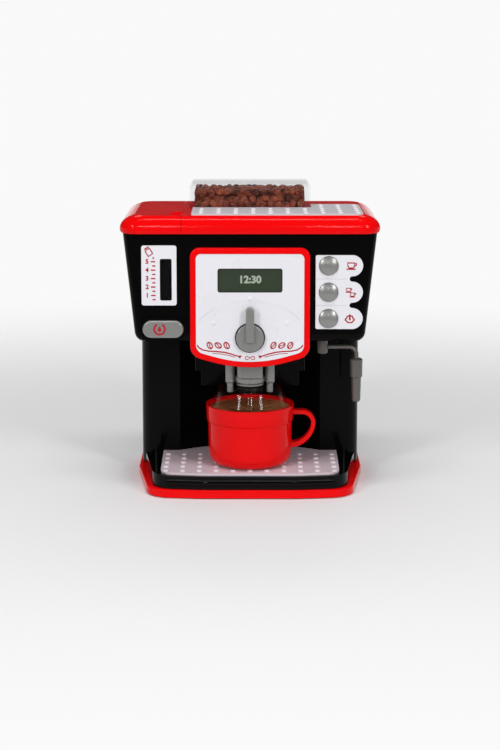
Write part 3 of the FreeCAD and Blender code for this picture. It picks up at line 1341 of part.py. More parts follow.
def make_power():
    inside = s.back_face - s.cover_thick
    cell_depth = inside - s.cell_radius - 2.2
    middle = s.cell_middle
    half = BAY_HALF - 1.75
    whole = box("BatteryWhole", (-BAY_HALF - BAY_WALL, cell_depth - s.cell_radius - 2.2,
                                 middle - BAY_DROP - BAY_WALL),
                (BAY_HALF + BAY_WALL, inside, middle + BAY_RISE + BAY_WALL))
    room = box("BatteryRoom", (-half, cell_depth - s.cell_radius - 0.6, middle - ROOM_HALF),
               (half, inside + 1, middle + ROOM_HALF))
    thread = cylinder("BatteryThread", s.screw_radius + s.thread_gap, 9, 0, inside - 9,
                      middle + DOOR_SCREW_UP, "y")
    node(cut("BatteryBox", whole, fuse("BatteryRooms", [room, thread])), "battery_box")
    cells, plates = [], []
    for i in (-1, 0, 1):
        z = middle + i * s.cell_pitch
        barrel = cylinder(f"Cell{i}", s.cell_radius, s.cell_length - NUB_LENGTH,
                          -s.cell_length / 2, cell_depth, z, "x")
        nub = cylinder(f"Nub{i}", 2.7, NUB_LENGTH, s.cell_length / 2 - NUB_LENGTH, cell_depth, z,
                       "x")
        cells.append(fuse(f"Battery{i}", [barrel, nub]))
        for side in (-1, 1):
            start = s.cell_length / 2 if side > 0 else -half
            plates.append(box(f"Plate{i}{side}",
                              (start, cell_depth - CONTACT_HALF, z - CONTACT_HALF),
                              (start + half - s.cell_length / 2, cell_depth + CONTACT_HALF,
                               z + CONTACT_HALF)))
    node(group("Batteries", cells), "batteries")
    node(group("Contacts", plates), "battery_contacts")
    gap = s.seam
    door = box("DoorPlate", (gap - BAY_HALF, inside + 0.2, middle - BAY_DROP + gap),
               (BAY_HALF - gap, s.back_face, middle + BAY_RISE - gap))
    well = cylinder("DoorWell", s.screw_radius * 2 + gap, 2, 0, s.back_face - WELL_DEPTH,
                    middle + DOOR_SCREW_UP, "y")
    hole = cylinder("DoorHole", s.screw_radius + gap, 6, 0, inside - 1, middle + DOOR_SCREW_UP,
                    "y")
    node(cut("Door", door, fuse("DoorHoles", [well, hole])), "battery_door")
    node(screw("DoorScrew", 0, s.back_face - WELL_DEPTH, middle + DOOR_SCREW_UP, 8, "y", False, 1.0),
         "battery_screw")

    x = as_size(SWITCH_ACROSS)
    case = box("SwitchBlock", (x - 8, inside - 9, middle - 4), (x + 8, inside, middle + 4))
    track = box("SwitchTrack", (x - 6, inside - 2, middle - 5), (x + 6, inside + 1, middle + 5))
    node(cut("SwitchCase", case, track), "switch_case")
    base = box("SliderBase", (x - 3.2, inside - 1.9, middle - 2.5),
               (x + 3.2, inside - 0.2, middle + 2.5))
    grip = box("SliderGrip", (x - 2, inside - 0.2, middle - 2.2),
               (x + 2, s.back_face - 0.2, middle + 2.2))
    node(fuse("Slider", [base, grip]), "power_switch")

    low, high = BOARD_LEVELS
    depth = inside - BOARD_STAND
    node(box("MainBoard", (-30, depth - s.board_thick, low - 5), (30, depth, high + 5)), "main_board")
    speaker = new_body("Speaker")
    half = sketch_on(speaker, "YZ_Plane")
    r = s.speaker_radius
    outline(half, [Corner(inside, 0), Corner(inside, r), Corner(inside - 1.5, r),
                   Corner(inside - 7, r * 0.5), Corner(inside - 14, r * 0.5), Corner(inside - 14, 0)])
    turn(speaker, half, axis="H_Axis")
    place(speaker, 0, 0, s.speaker_up)
    node(speaker, "speaker")


for maker in (make_plinth, make_tray, make_drip_plate, make_columns, make_head,
              make_rear_cover, make_cap, make_lid, make_warm_plate, make_hopper, make_face, make_knob,
              make_gauge, make_tank, make_water_button, make_keys, make_group, make_wand, make_mug,
              make_power):
    maker()

doc.recompute()
for piece in doc.Objects:
    if "Invalid" in piece.State or "Error" in piece.State:
        raise RuntimeError(f"{piece.Name} failed: {piece.State}")
    if piece.isDerivedFrom("PartDesign::Pocket") or "Subtractive" in piece.TypeId:
        before = piece.BaseFeature.Shape.Volume
        if piece.Shape.Volume > before - 0.01:
            raise RuntimeError(f"{piece.Name} cuts nothing")
os.makedirs("parts", exist_ok=True)
for piece in NODES:
    shape = piece.Shape
    if shape.isNull() or not shape.isValid():
        raise RuntimeError(f"{piece.Label} has no valid shape")
    shape.exportStep(f"parts/{piece.Label}.step")
    limits = shape.BoundBox
    spans = (limits.XMin, limits.YMin, limits.ZMin, limits.XMax, limits.YMax, limits.ZMax)
    print(piece.Label, len(shape.Solids), round(shape.Volume), [round(v, 1) for v in spans])
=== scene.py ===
# %% [markdown]
# # A toy coffee maker, dressed and lit
# The construction is already built: sixty pieces, in metres, that stand where they belong. This
# file gives each of them its finish, adds what is printed or moulded too finely for the solids,
# and sets up a plain studio. The first lines bring the solids in. Lengths in the studio and in the
# finishes are in metres, and those of the pieces are in millimetres, which MM turns into metres.

# %% Load the solids
import json
import math
import random

import bmesh
import bpy
from mathutils import Matrix, Vector


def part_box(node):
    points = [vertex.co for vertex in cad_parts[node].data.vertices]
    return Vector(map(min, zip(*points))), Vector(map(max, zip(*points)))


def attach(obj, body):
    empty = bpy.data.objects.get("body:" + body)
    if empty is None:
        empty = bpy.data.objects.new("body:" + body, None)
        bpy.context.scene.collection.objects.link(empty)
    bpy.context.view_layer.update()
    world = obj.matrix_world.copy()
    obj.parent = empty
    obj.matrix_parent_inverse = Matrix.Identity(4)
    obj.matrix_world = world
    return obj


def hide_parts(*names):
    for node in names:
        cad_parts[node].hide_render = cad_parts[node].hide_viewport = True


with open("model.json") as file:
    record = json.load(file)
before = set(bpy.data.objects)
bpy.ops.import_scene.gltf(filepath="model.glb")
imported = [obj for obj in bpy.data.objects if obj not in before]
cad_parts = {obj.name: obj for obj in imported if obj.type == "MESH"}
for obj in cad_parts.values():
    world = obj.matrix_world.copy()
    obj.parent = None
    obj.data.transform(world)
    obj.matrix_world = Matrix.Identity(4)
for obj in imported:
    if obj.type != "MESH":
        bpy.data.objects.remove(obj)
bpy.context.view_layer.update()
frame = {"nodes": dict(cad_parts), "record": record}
nodes = frame["nodes"]

MM = 0.001

# %% [markdown]
# ## The camera
# The picture was taken from a little above, straight in front, with a long lens: the toy's sides
# hardly converge. A lens of about 83 mm, 1.6 m away, gives the same flatness. The camera tilts
# down by eight degrees, and a small vertical shift of the sensor frames the toy without tilting
# more, which would pinch its foot.

# %% The camera
PICTURE_HEIGHT = 750
SENSOR = 36
FOCUS_ROWS = 1726.9
SHIFT_ROWS = 100
EYE_PLACE = (0, -1.5564, 0.4144)
EYE_TILT = 8.23

lens_data = bpy.data.cameras.new("eye")
lens_data.sensor_fit = "VERTICAL"
lens_data.sensor_height = SENSOR
lens_data.lens = FOCUS_ROWS / PICTURE_HEIGHT * SENSOR
lens_data.shift_y = -SHIFT_ROWS / PICTURE_HEIGHT
eye = bpy.data.objects.new("eye", lens_data)
eye.location = EYE_PLACE
eye.rotation_euler = (math.radians(90 - EYE_TILT), 0, 0)
bpy.context.scene.collection.objects.link(eye)
bpy.context.scene.camera = eye
print("lens:", round(lens_data.lens, 1), "mm")

# %% [markdown]
# ## The studio
# Glossy toys are lit with large soft boxes, because a gloss surface is a mirror: what it shows is
# the shape of the lamp. Two tall boxes stand left and right of the front, and a wide one hangs
# above. Two small ones beside the camera put the glints on the cap's front edge, and one behind
# lights the back. The floor is a plain pale sheet, and the air around it is pale, so the shadows
# stay soft.

# %% Lamps
TOY_MIDDLE = Vector((0, 0, 0.13))
# Each lamp has a name, a place, a width and height, and a power in watts.
LAMPS = (
    ("left_box", (-1.05, -1.45, 0.85), (0.24, 0.75), 11),
    ("left_glint", (-0.165, -1.75, 0.72), (0.055, 0.2), 1.1),
    ("right_box", (1.05, -1.45, 0.85), (0.24, 0.75), 11),
    ("right_glint", (0.165, -1.75, 0.72), (0.055, 0.2), 1.1),
    ("top_box", (0, -0.5, 1.6), (0.95, 0.28), 8),
    ("back_box", (0, 1.3, 1.5), (1.2, 0.6), 6),
)


def soft_box(name, place, size, power):
    """A rectangular lamp at a place, turned towards the toy."""
    data = bpy.data.lights.new(name, "AREA")
    data.shape = "RECTANGLE"
    data.size, data.size_y = size
    data.energy = power
    lamp = bpy.data.objects.new(name, data)
    lamp.location = place
    lamp.rotation_euler = (TOY_MIDDLE - Vector(place)).to_track_quat("-Z", "Y").to_euler()
    bpy.context.scene.collection.objects.link(lamp)


for lamp_facts in LAMPS:
    soft_box(*lamp_facts)
print("lamps:", len(bpy.data.lights))

# %% [markdown]
# ## Shader maths that reads like maths
# A finish is a small graph of nodes, and a graph is slow to read. The first class below wraps a
# node's output, so a sum, a difference or a product in Python adds the Math node that does it, on
# whichever side the number stands. Every other node comes from one method that takes its type, its
# settings and then what feeds its sockets. The air round the toy is such a graph too, so a finish
# only adds a material and its shader to what every graph can do.

# %% A wrapped socket and a graph


class Signal:
    """One output in a graph, which takes part in sums, differences and products."""

    def __init__(self, graph, output):
        self.graph = graph
        self.output = output

    def maths(self, operation, first, second):
        return self.graph.add("Math", {"operation": operation}, {0: first, 1: second})

    def __add__(self, other):
        return self.maths("ADD", self, other)

    def __sub__(self, other):
        return self.maths("SUBTRACT", self, other)

    def __rsub__(self, other):
        return self.maths("SUBTRACT", other, self)

    def __mul__(self, other):
        return self.maths("MULTIPLY", self, other)

    __radd__ = __add__
    __rmul__ = __mul__


class Graph:
    """The nodes of a finish or of the air."""

    def __init__(self, tree):
        self.tree = tree

    def feed(self, socket, value):
        if isinstance(value, Signal):
            self.tree.links.new(value.output, socket)
        else:
            socket.default_value = value

    def add(self, kind, settings=None, inputs=None, output=0):
        """A new node with its settings made first and then its sockets fed."""
        node = self.tree.nodes.new("ShaderNode" + kind)
        for name, value in (settings or {}).items():
            setattr(node, name, value)
        for name, value in (inputs or {}).items():
            self.feed(node.inputs[name], value)
        return Signal(self, node.outputs[output])


print("graphs ready")

# %% A finish and its colours


class Finish(Graph):
    """A material, its graph and its main shader."""

    def __init__(self, name):
        self.material = bpy.data.materials.new(name)
        self.material.use_nodes = True
        super().__init__(self.material.node_tree)
        self.shader = self.tree.nodes["Principled BSDF"]
        self.surface = self.tree.nodes["Material Output"].inputs["Surface"]

    def set(self, **values):
        """Feed the main shader's sockets, named with _ for a space."""
        for name, value in values.items():
            self.feed(self.shader.inputs[name.replace("_", " ")], value)

    def place(self):
        return self.add("TexCoord", output="Object")

    def noise(self, scale, detail=2.0, spot=None):
        return self.add("TexNoise", {}, {"Vector": spot or self.place(), "Scale": scale,
                                         "Detail": detail})

    def between(self, mask, first, second):
        """A colour that goes from the first to the second as the mask goes from 0 to 1."""
        return self.add("Mix", {"data_type": "RGBA"}, {0: mask, 6: first, 7: second}, output=2)

    def bump(self, height, distance, strength=1.0, over=None):
        """Relief of a depth in metres, which may lie over another relief."""
        sockets = {"Strength": strength, "Distance": distance, "Height": height}
        if over:
            sockets["Normal"] = over
        return self.add("Bump", {}, sockets)


def shade(red, green, blue):
    """A colour written as a plain list of linear light."""
    return (red, green, blue, 1.0)


def shifted(colour, factor):
    return tuple(min(1.0, part * factor) for part in colour[:3]) + (1.0,)


print("finishes can be mixed")

# %% [markdown]
# ## Moulded plastic
# Most of the toy is ABS from polished moulds. Such a surface isn't a perfect mirror: it sinks and
# ripples by a few hundredths of a millimetre over centimetres, its pigment is a touch uneven, and
# handling leaves a faint haze. One recipe takes the colour, and how much it ripples and hazes. The
# satin and matt pieces get a fine grain as well.

# %% The moulded plastics
NOISE_MIDDLE = 0.5
PIGMENT_SCALE = 9.0
PIGMENT_RANGE = (0.93, 1.05)
HANDLING_SCALE = 34.0
RIPPLE_SCALE = 16.0
GRAIN_SCALE = 2200.0
GRAIN_STRENGTH = 0.5
CROWN_EDGE = 0.0004


def moulded(name, colour, gloss=0.12, haze=0.06, ripple=0.00012, grain=0.0, specular=0.5,
            metal=0.0, painted_highlight=None):
    """Moulded plastic; gloss is the roughness, haze its change, and grain a fine texture.

    The last argument is a painted highlight: a height, and the pale colour of all above it.
    """
    finish = Finish(name)
    spot = finish.place()
    pigment = finish.noise(PIGMENT_SCALE, 2.0, spot)
    handled = finish.noise(HANDLING_SCALE, 4.0, spot)
    normal = finish.bump(finish.noise(RIPPLE_SCALE, 0.0, spot), ripple)
    if grain:
        normal = finish.bump(finish.noise(GRAIN_SCALE, 2.0, spot), grain, GRAIN_STRENGTH, normal)
    tone = finish.between(pigment, *(shifted(colour, factor) for factor in PIGMENT_RANGE))
    # A painted highlight: all that stands above the given height takes the pale colour.
    if painted_highlight:
        foot, painted_highlight_colour = painted_highlight
        level = finish.add("SeparateXYZ", {}, {0: spot}, output="Z")
        above = finish.add("MapRange", {}, {"Value": level, "From Min": foot,
                                            "From Max": foot + CROWN_EDGE})
        tone = finish.between(above, tone, painted_highlight_colour)
    finish.set(Base_Color=tone, Roughness=gloss + haze * (handled - NOISE_MIDDLE), Normal=normal)
    finish.set(Specular_IOR_Level=specular, Metallic=metal)
    return finish.material


finishes = {
    "red_gloss": moulded("red_gloss", shade(0.78, 0.002, 0.003), gloss=0.10, specular=0.10),
    "mug_gloss": moulded("mug_gloss", shade(0.72, 0.002, 0.003), gloss=0.07, specular=0.12),
    "tray_gloss": moulded("tray_gloss", shade(0.002, 0.002, 0.002), gloss=0.06, specular=0.12),
    "black_gloss": moulded("black_gloss", shade(0.002, 0.002, 0.0021), gloss=0.10, specular=0.06),
    "white_panel": moulded("white_panel", shade(0.74, 0.735, 0.775), gloss=0.28, ripple=0.00006),
    "pale_plate": moulded("pale_plate", shade(0.57, 0.555, 0.585), gloss=0.35, grain=0.00001),
    # The pips' near white is a painted highlight: on the drip plate, all above its top takes the
    # pale colour, and the cup plate's pips have a near white finish of their own.
    "pipped_plate": moulded("pipped_plate", shade(0.66, 0.56, 0.615), gloss=0.30, grain=0.00001,
                            painted_highlight=(0.0221, shade(0.95, 0.93, 0.97))),
    "plate_pip": moulded("plate_pip", shade(0.93, 0.92, 0.95), gloss=0.22),
    "silver_paint": moulded("silver_paint", shade(0.29, 0.29, 0.28), gloss=0.32, grain=0.00001,
                            metal=0.55),
    "dark_silver": moulded("dark_silver", shade(0.13, 0.122, 0.11), gloss=0.30, grain=0.00001,
                           metal=0.5),
    "foot_rubber": moulded("foot_rubber", shade(0.02, 0.02, 0.02), gloss=0.75, grain=0.00003),
    "circuit_board": moulded("circuit_board", shade(0.02, 0.16, 0.06), gloss=0.35),
    "battery_wrap": moulded("battery_wrap", shade(0.20, 0.22, 0.25), gloss=0.22),
    "inner_plastic": moulded("inner_plastic", shade(0.62, 0.62, 0.60), gloss=0.40),
    "printed_card": moulded("printed_card", shade(0.085, 0.105, 0.08), gloss=0.45),
    # The next grey, a little darker than the panel, is painted shade: it draws the grooves between
    # the button lobes and the edge of the arch on the face.
    "panel_groove_shade": moulded("panel_groove_shade", shade(0.60, 0.595, 0.63), gloss=0.4),
    # The next near black is painted shade, for the gap round the knob and each screw's cross
    # recess; it also draws the dark line round the display window.
    "dark_recess": moulded("dark_recess", shade(0.02, 0.02, 0.02), gloss=0.6),
    "bean_shadow": moulded("bean_shadow", shade(0.035, 0.012, 0.008), gloss=0.5),
    "printed_red": moulded("printed_red", shade(0.40, 0.004, 0.014), gloss=0.5, specular=0.2),
    "display_light": moulded("display_light", shade(0.72, 0.75, 0.72), gloss=0.45),
}
print("moulded finishes:", len(finishes))

# %% [markdown]
# ## Coffee and beans
# Two finishes have colour of their own. Roasted beans differ from one to the next, so a noise with
# a grain of about a bean goes from nearly black to a red brown. Coffee carries pale foam, which
# lies in soft swirls: the noise that draws them is bent by a second one.

# %% The beans and the coffee
PATCH_HAZE = 0.2
HAZE_FINER = 3
PITS_FINER = 5
PIT_DEPTH = 0.0001


def mottled(name, dark, light, scale, gloss, specular, bend=0.0, contrast=(0.35, 0.65)):
    """Two colours in patches; scale is patches to the metre, and bend stirs them."""
    finish = Finish(name)
    spot = finish.place()
    patches = finish.add("TexNoise", {}, {"Vector": spot, "Scale": scale, "Detail": 2.0,
                                          "Distortion": bend})
    spread = finish.add("MapRange", {}, {"Value": patches, "From Min": contrast[0],
                                         "From Max": contrast[1]})
    finish.set(Base_Color=finish.between(spread, dark, light),
               Roughness=gloss + PATCH_HAZE * finish.noise(scale * HAZE_FINER, 2.0, spot),
               Normal=finish.bump(finish.noise(scale * PITS_FINER, 2.0, spot), PIT_DEPTH))
    finish.set(Specular_IOR_Level=specular)
    return finish.material


finishes["bean_brown"] = mottled("bean_brown", shade(0.05, 0.011, 0.006),
                                 shade(0.30, 0.07, 0.034), 120, 0.25, specular=0.15)
finishes["coffee_brown"] = mottled("coffee_brown", shade(0.17, 0.052, 0.017),
                                   shade(0.52, 0.22, 0.08), 34, 0.2, specular=0.2, bend=1.6)
print("mottled finishes: 2")

# %% [markdown]
# ## Clear plastic
# The bean box, the tank and the splash guard are clear mouldings a millimetre and a half thick.
# A wall that thin barely bends what is behind it: you see it by its reflections, which grow
# strong where you look along the wall. So the finish mixes a see-through shader with a glossy
# one, by how steeply the surface is seen, and the light still reaches what is inside.

# %% The clear plastics and the metal
CLEAR_ROUGHNESS = 0.05
CLEAR_HAZE = 0.04
CLEAR_HAZE_SCALE = 60.0
CLEAR_SWELL = 0.00008
CLEAR_SWELL_SCALE = 45.0
EDGE_BLEND = 0.3
PLATING_RANGE = (0.85, 1.1)
PLATING_ROUGHNESS = 0.18
PLATING_HAZE = 0.2
PLATING_CLOUD_SCALE = 220.0
PLATING_PIT_SCALE = 900.0
PLATING_PIT_DEPTH = 0.00002


def see_through(name, tint, least, most):
    """A thin clear wall; least and most are how much it mirrors face on and edge on."""
    finish = Finish(name)
    spot = finish.place()
    normal = finish.bump(finish.noise(CLEAR_SWELL_SCALE, 1.0, spot), CLEAR_SWELL)
    finish.set(Base_Color=shade(0.8, 0.81, 0.82), Metallic=1.0, Normal=normal,
               Roughness=CLEAR_ROUGHNESS + CLEAR_HAZE * finish.noise(CLEAR_HAZE_SCALE, 3.0, spot))
    facing = finish.add("LayerWeight", {}, {"Blend": EDGE_BLEND}, output="Facing")
    cover = least + (most - least) * (facing * facing)
    clear = finish.add("BsdfTransparent", {}, {"Color": tint})
    mixed = finish.add("MixShader", {}, {0: cover, 1: clear,
                                         2: Signal(finish, finish.shader.outputs[0])})
    finish.feed(finish.surface, mixed)
    return finish.material


def plated(name, colour):
    """Zinc plating: bright, faintly clouded and pitted."""
    finish = Finish(name)
    cloud = finish.noise(PLATING_CLOUD_SCALE, 3.0)
    tone = finish.between(cloud, *(shifted(colour, factor) for factor in PLATING_RANGE))
    finish.set(Base_Color=tone, Roughness=PLATING_ROUGHNESS + PLATING_HAZE * cloud, Metallic=1.0,
               Normal=finish.bump(finish.noise(PLATING_PIT_SCALE, 1.0), PLATING_PIT_DEPTH))
    return finish.material


finishes["clear_plastic"] = see_through("clear_plastic", shade(0.96, 0.963, 0.967), 0.01, 0.22)
finishes["smoked_lens"] = see_through("smoked_lens", shade(0.72, 0.76, 0.70), 0.015, 0.35)
finishes["plated_steel"] = plated("plated_steel", shade(0.62, 0.62, 0.60))
print("all finishes:", len(finishes))

# %% [markdown]
# ## A finish on every solid
# The record that comes with the solids names a material slot for each. The slot's name is the
# finish's name, so one loop dresses them all. Curved faces are shaded smooth as they come. Three
# solids get a closer match: the cup and the tray have the clearest polish, and the drip plate's
# pips carry a painted highlight, a near white on all that stands above the plate.

# %% Dress the solids
slot_of = {part["node"]: part["material_slot"] for part in frame["record"]["subparts"]}


def dress(piece, finish_name):
    piece.data.materials.clear()
    piece.data.materials.append(finishes[finish_name])


for name, solid in nodes.items():
    dress(solid, slot_of[name])
for name, finish_name in (("drip_plate", "pipped_plate"), ("mug", "mug_gloss"),
                          ("drip_tray", "tray_gloss")):
    dress(nodes[name], finish_name)
print("dressed:", len(nodes))

# %% [markdown]
# ## The floor and the air
# A pale sheet lies under the toy and fades into the pale air around it, so there is no horizon.
# The air is nearly white where the camera looks, and a mirror or a clear wall sees that same white
# behind the toy. A mirror that looks up, or forwards past the camera, sees a darker room, as in a
# real studio. Without it, the red top would look pink and the black front grey, and the lamps would
# leave no glints.

# %% The floor
FLOOR_RADIUS = 2.5
FADE_STARTS = 0.25
FADE_ENDS = 1.1
bpy.ops.mesh.primitive_circle_add(vertices=96, radius=FLOOR_RADIUS, fill_type="NGON")
floor = bpy.context.object
floor.name = "floor"
paper = Finish("floor_sheet")
paper.set(Base_Color=shade(0.83, 0.83, 0.84), Roughness=0.85, Specular_IOR_Level=0.1)
reach = paper.add("VectorMath", {"operation": "LENGTH"}, {0: paper.place()}, output="Value")
fade = paper.add("MapRange", {"interpolation_type": "SMOOTHSTEP"},
                 {"Value": reach, "From Min": FADE_STARTS, "From Max": FADE_ENDS})
nothing = paper.add("BsdfTransparent")
paper.feed(paper.surface, paper.add("MixShader", {}, {
    0: fade, 1: Signal(paper, paper.shader.outputs[0]), 2: nothing}))
floor.data.materials.append(paper.material)
print("floor laid")

# %% The air
SEEN = 0.95
LIGHTING = 0.35
CEILING = 0.04
CEILING_STARTS = 0.015
CEILING_FULL = 0.07
ROOM = 0.22
ROOM_FULL = -0.5
ROOM_STARTS = -0.05
world = bpy.data.worlds.new("studio_air")
world.use_nodes = True
bpy.context.scene.world = world
bpy.context.scene.view_settings.view_transform = "Standard"
air = Graph(world.node_tree)
background = air.tree.nodes["Background"]


def air_level(mask, low_level, high_level, start=0.0, stop=1.0):
    """One level where the mask is at its start, and another where it is at its stop."""
    return air.add("MapRange", {}, {"Value": mask, "From Min": start, "From Max": stop,
                                    "To Min": low_level, "To Max": high_level})


def heading(axis):
    """How far a ray points along an axis, from -1 to 1."""
    return air.add("SeparateXYZ", {}, {0: air.add("TexCoord", output="Generated")}, output=axis)


around = air_level(heading("Y"), ROOM, SEEN, ROOM_FULL, ROOM_STARTS)
in_mirrors = air_level(heading("Z"), around, CEILING, CEILING_STARTS, CEILING_FULL)
level = air_level(air.add("LightPath", output="Is Glossy Ray"), LIGHTING, in_mirrors)
level = air_level(air.add("LightPath", output="Is Transmission Ray"), level, in_mirrors)
level = air_level(air.add("LightPath", output="Is Camera Ray"), level, SEEN)
air.feed(background.inputs["Color"], shade(1.0, 1.0, 1.0))
air.feed(background.inputs["Strength"], level)
print("air set")

# %% [markdown]
# ## Printed marks
# The panels carry flat marks in red ink: a water scale, small drawings of cups, drops and steam.
# Ink has no thickness to speak of, so each mark is a thin sheet of faces a few hundredths of a
# millimetre in front of its panel. A line is a ribbon along its points, and a spot is one face.

# %% Ribbons, spots and finished pieces
INK_LIFT = 0.06
INK_SPREAD = 1.7


def ribbon(mesh, points, width, depth, closed=False):
    """Faces along a line of points, all at one depth."""
    count = len(points)
    sides = []
    for i, (x, z) in enumerate(points):
        before = points[i - 1] if i or closed else points[i]
        after = points[(i + 1) % count] if i < count - 1 or closed else points[i]
        ahead = Vector((after[0] - before[0], after[1] - before[1])).normalized()
        across = Vector((-ahead.y, ahead.x)) * width / 2
        sides.append([mesh.verts.new((x + across.x * s, depth, z + across.y * s))
                      for s in (1, -1)])
    for i in range(count if closed else count - 1):
        a, b = sides[i], sides[(i + 1) % count]
        mesh.faces.new((a[0], b[0], b[1], a[1]))


def spot_face(mesh, points, depth):
    mesh.faces.new([mesh.verts.new((x, depth, z)) for x, z in points])


def finished_mesh(name, mesh, finish_name, body, smooth=False):
    """Turn edited geometry, in millimetres, into a piece that rides on a body."""
    bmesh.ops.scale(mesh, vec=(MM, MM, MM), verts=mesh.verts)
    bmesh.ops.recalc_face_normals(mesh, faces=mesh.faces)
    data = bpy.data.meshes.new(name)
    mesh.to_mesh(data)
    mesh.free()
    if smooth:
        for face in data.polygons:
            face.use_smooth = True
    piece = bpy.data.objects.new(name, data)
    bpy.context.scene.collection.objects.link(piece)
    dress(piece, finish_name)
    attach(piece, body)
    return piece


print("ribbons and spots ready")

# %% Arcs, drops and whole marks


def arc(radius, start, stop, steps=18, middle=(0, 0), squash=1.0):
    """Points along an arc, its angles in degrees."""
    angles = [math.radians(start + (stop - start) * i / steps) for i in range(steps + 1)]
    return [(middle[0] + radius * math.cos(a), middle[1] + radius * squash * math.sin(a))
            for a in angles]


def drop(height, width, middle=(0, 0)):
    """A falling drop's outline, pointed at the top."""
    lower = arc(width / 2, -200, 20, 14, (0, -height / 2 + width / 2))
    return [(middle[0] + x, middle[1] + z) for x, z in lower + [(0, height / 2)]]


def moved(points, dx, dz, size=1.0):
    return [(x * size + dx, z * size + dz) for x, z in points]


def mirrored(points):
    return [(-x, z) for x, z in points]


def mark(name, lines, spots, front, body="machine", finish_name="printed_red"):
    """A printed mark: lines are (points, width, closed), spots are outlines, front is a depth."""
    mesh = bmesh.new()
    depth = front - INK_LIFT
    for points, width, closed in lines:
        ribbon(mesh, points, width * INK_SPREAD, depth, closed)
    for points in spots:
        spot_face(mesh, points, depth)
    return finished_mesh(name, mesh, finish_name, body)


def front_of(name):
    """How far forward a solid reaches, in millimetres."""
    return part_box(name)[0].y / MM


print("mark helpers ready")

# %% [markdown]
# ## The water scale
# Beside the gauge's window stand the numbers 1 to 5, with a long tick at each and a short one
# below it. Above them a small jug tips out a drop. The numbers are type set by Blender and turned
# into a mesh, because plain digits are all that is needed. The same function sets the number in the
# display and, turned round, the two words on the back.

# %% The water scale
SCALE_TOP = 209.9
SCALE_STEP = 7.46
SCALE_MARKS = 5
NUMBERS_AT = -90.0
NUMBER_HIGH = 4.0
LONG_TICK_FROM = -86.7
SHORT_TICK_FROM = -85.5
TICKS_TO = -82.75
TICK_WIDE = 0.7
LINE_WIDE = 0.75
JUG_SPOT = (-88.6, 218.2)
JUG_SIZE = 0.9
SPILT_DROP = (-84.5, 213.4)
SPILT_HIGH, SPILT_WIDE = 2.4, 1.5
CAPITAL_SHARE = 0.72
BOLD = 0.055
panel_front = front_of("level_panel")


def lettering(name, text, x, z, height, face, finish_name, body="machine", behind=False):
    """A short number or word, centred on a point, that faces the front or the back."""
    data = bpy.data.curves.new(name + "_type", "FONT")
    data.body = text
    data.align_x = "CENTER"
    data.align_y = "CENTER"
    data.size = height * MM / CAPITAL_SHARE
    data.offset = height * MM * BOLD
    source = bpy.data.objects.new(name + "_type", data)
    bpy.context.scene.collection.objects.link(source)
    bpy.context.view_layer.update()
    mesh = bpy.data.meshes.new_from_object(source.evaluated_get(
        bpy.context.evaluated_depsgraph_get()))
    bpy.data.objects.remove(source)
    bpy.data.curves.remove(data)
    lift = INK_LIFT if behind else -INK_LIFT
    mesh.transform(Matrix.Translation((x * MM, (face + lift) * MM, z * MM))
                   @ Matrix.Rotation(math.pi if behind else 0, 4, "Z")
                   @ Matrix.Rotation(math.pi / 2, 4, "X"))
    piece = bpy.data.objects.new(name, mesh)
    bpy.context.scene.collection.objects.link(piece)
    dress(piece, finish_name)
    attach(piece, body)
    return piece


for i in range(SCALE_MARKS):
    number = str(SCALE_MARKS - i)
    lettering("scale_number_" + number, number, NUMBERS_AT, SCALE_TOP - i * SCALE_STEP, NUMBER_HIGH,
              panel_front, "printed_red")
ticks = []
for i in range(SCALE_MARKS * 2):
    height = SCALE_TOP - i * SCALE_STEP / 2
    start = SHORT_TICK_FROM if i % 2 else LONG_TICK_FROM
    ticks.append(([(start, height), (TICKS_TO, height)], TICK_WIDE, False))
mark("scale_ticks", ticks, [], panel_front)
jug = [(-3.4, 1.2), (0.9, 3.9), (4.0, -1.2), (-0.2, -4.2)]
jug_lid = [(-4.1, 2.7), (0.2, 5.3)]
mark("jug_mark", [(moved(jug, *JUG_SPOT, JUG_SIZE), LINE_WIDE, True),
                  (moved(jug_lid, *JUG_SPOT, JUG_SIZE), LINE_WIDE, False)],
     [drop(SPILT_HIGH, SPILT_WIDE, SPILT_DROP)], panel_front)
print("water scale printed")

# %% [markdown]
# ## The water button's mark
# A drop inside an open ring says that this button lets the water through. It moves with the
# button, so it rides on the button's body.

# %% The mark on the water button
RING_MIDDLE = (-79.3, 150.6)
RING_RADIUS = 4.7
RING_WIDE = 0.95
RING_FROM, RING_TO = 118, 422
DROP_MIDDLE = (-79.3, 150.9)
DROP_HIGH, DROP_WIDE = 5.2, 3.2
ring_points = arc(RING_RADIUS, RING_FROM, RING_TO, 32, RING_MIDDLE)
mark("water_mark", [(ring_points, RING_WIDE, False)], [drop(DROP_HIGH, DROP_WIDE, DROP_MIDDLE)],
     front_of("water_button"), body="water_key")
print("water mark printed")

# %% [markdown]
# ## The three drink marks
# The lobes of the right-hand panel name what each button makes: one cup, two cups, or steam. They
# are line drawings, so a cup is three ribbons, and the two small cups reuse it at about two thirds
# of the size.

# %% The drink marks
GROOVE_HEIGHTS = (171.2, 194.6)
GROOVE_FROM, GROOVE_TO = 58.0, 84.5
GROOVE_WIDE = 0.35
# A cup's place across and up, its size and its line's width.
ONE_CUP = (88.6, 206.2, 0.86, 0.7)
FIRST_OF_TWO = (86.4, 184.8, 0.55, 0.5)
SECOND_OF_TWO = (89.8, 180.6, 0.55, 0.5)
STEAM_SPOT = (87.6, 159.2)
SPOUT_WIDE = 0.9
key_front = front_of("button_panel")
bowl = [(-3.9, 3.0), (3.4, 3.0), (3.0, -0.8), (1.6, -2.2), (-1.9, -2.2), (-3.4, -0.8)]
handle = [(3.4, 2.2), (5.0, 2.6), (5.0, 0.6), (3.2, -0.2)]
saucer = [(-5.0, -3.4), (4.4, -3.4)]


def cup_lines(dx, dz, size, width):
    return [(moved(bowl, dx, dz, size), width, True), (moved(handle, dx, dz, size), width, False),
            (moved(saucer, dx, dz, size), width, False)]
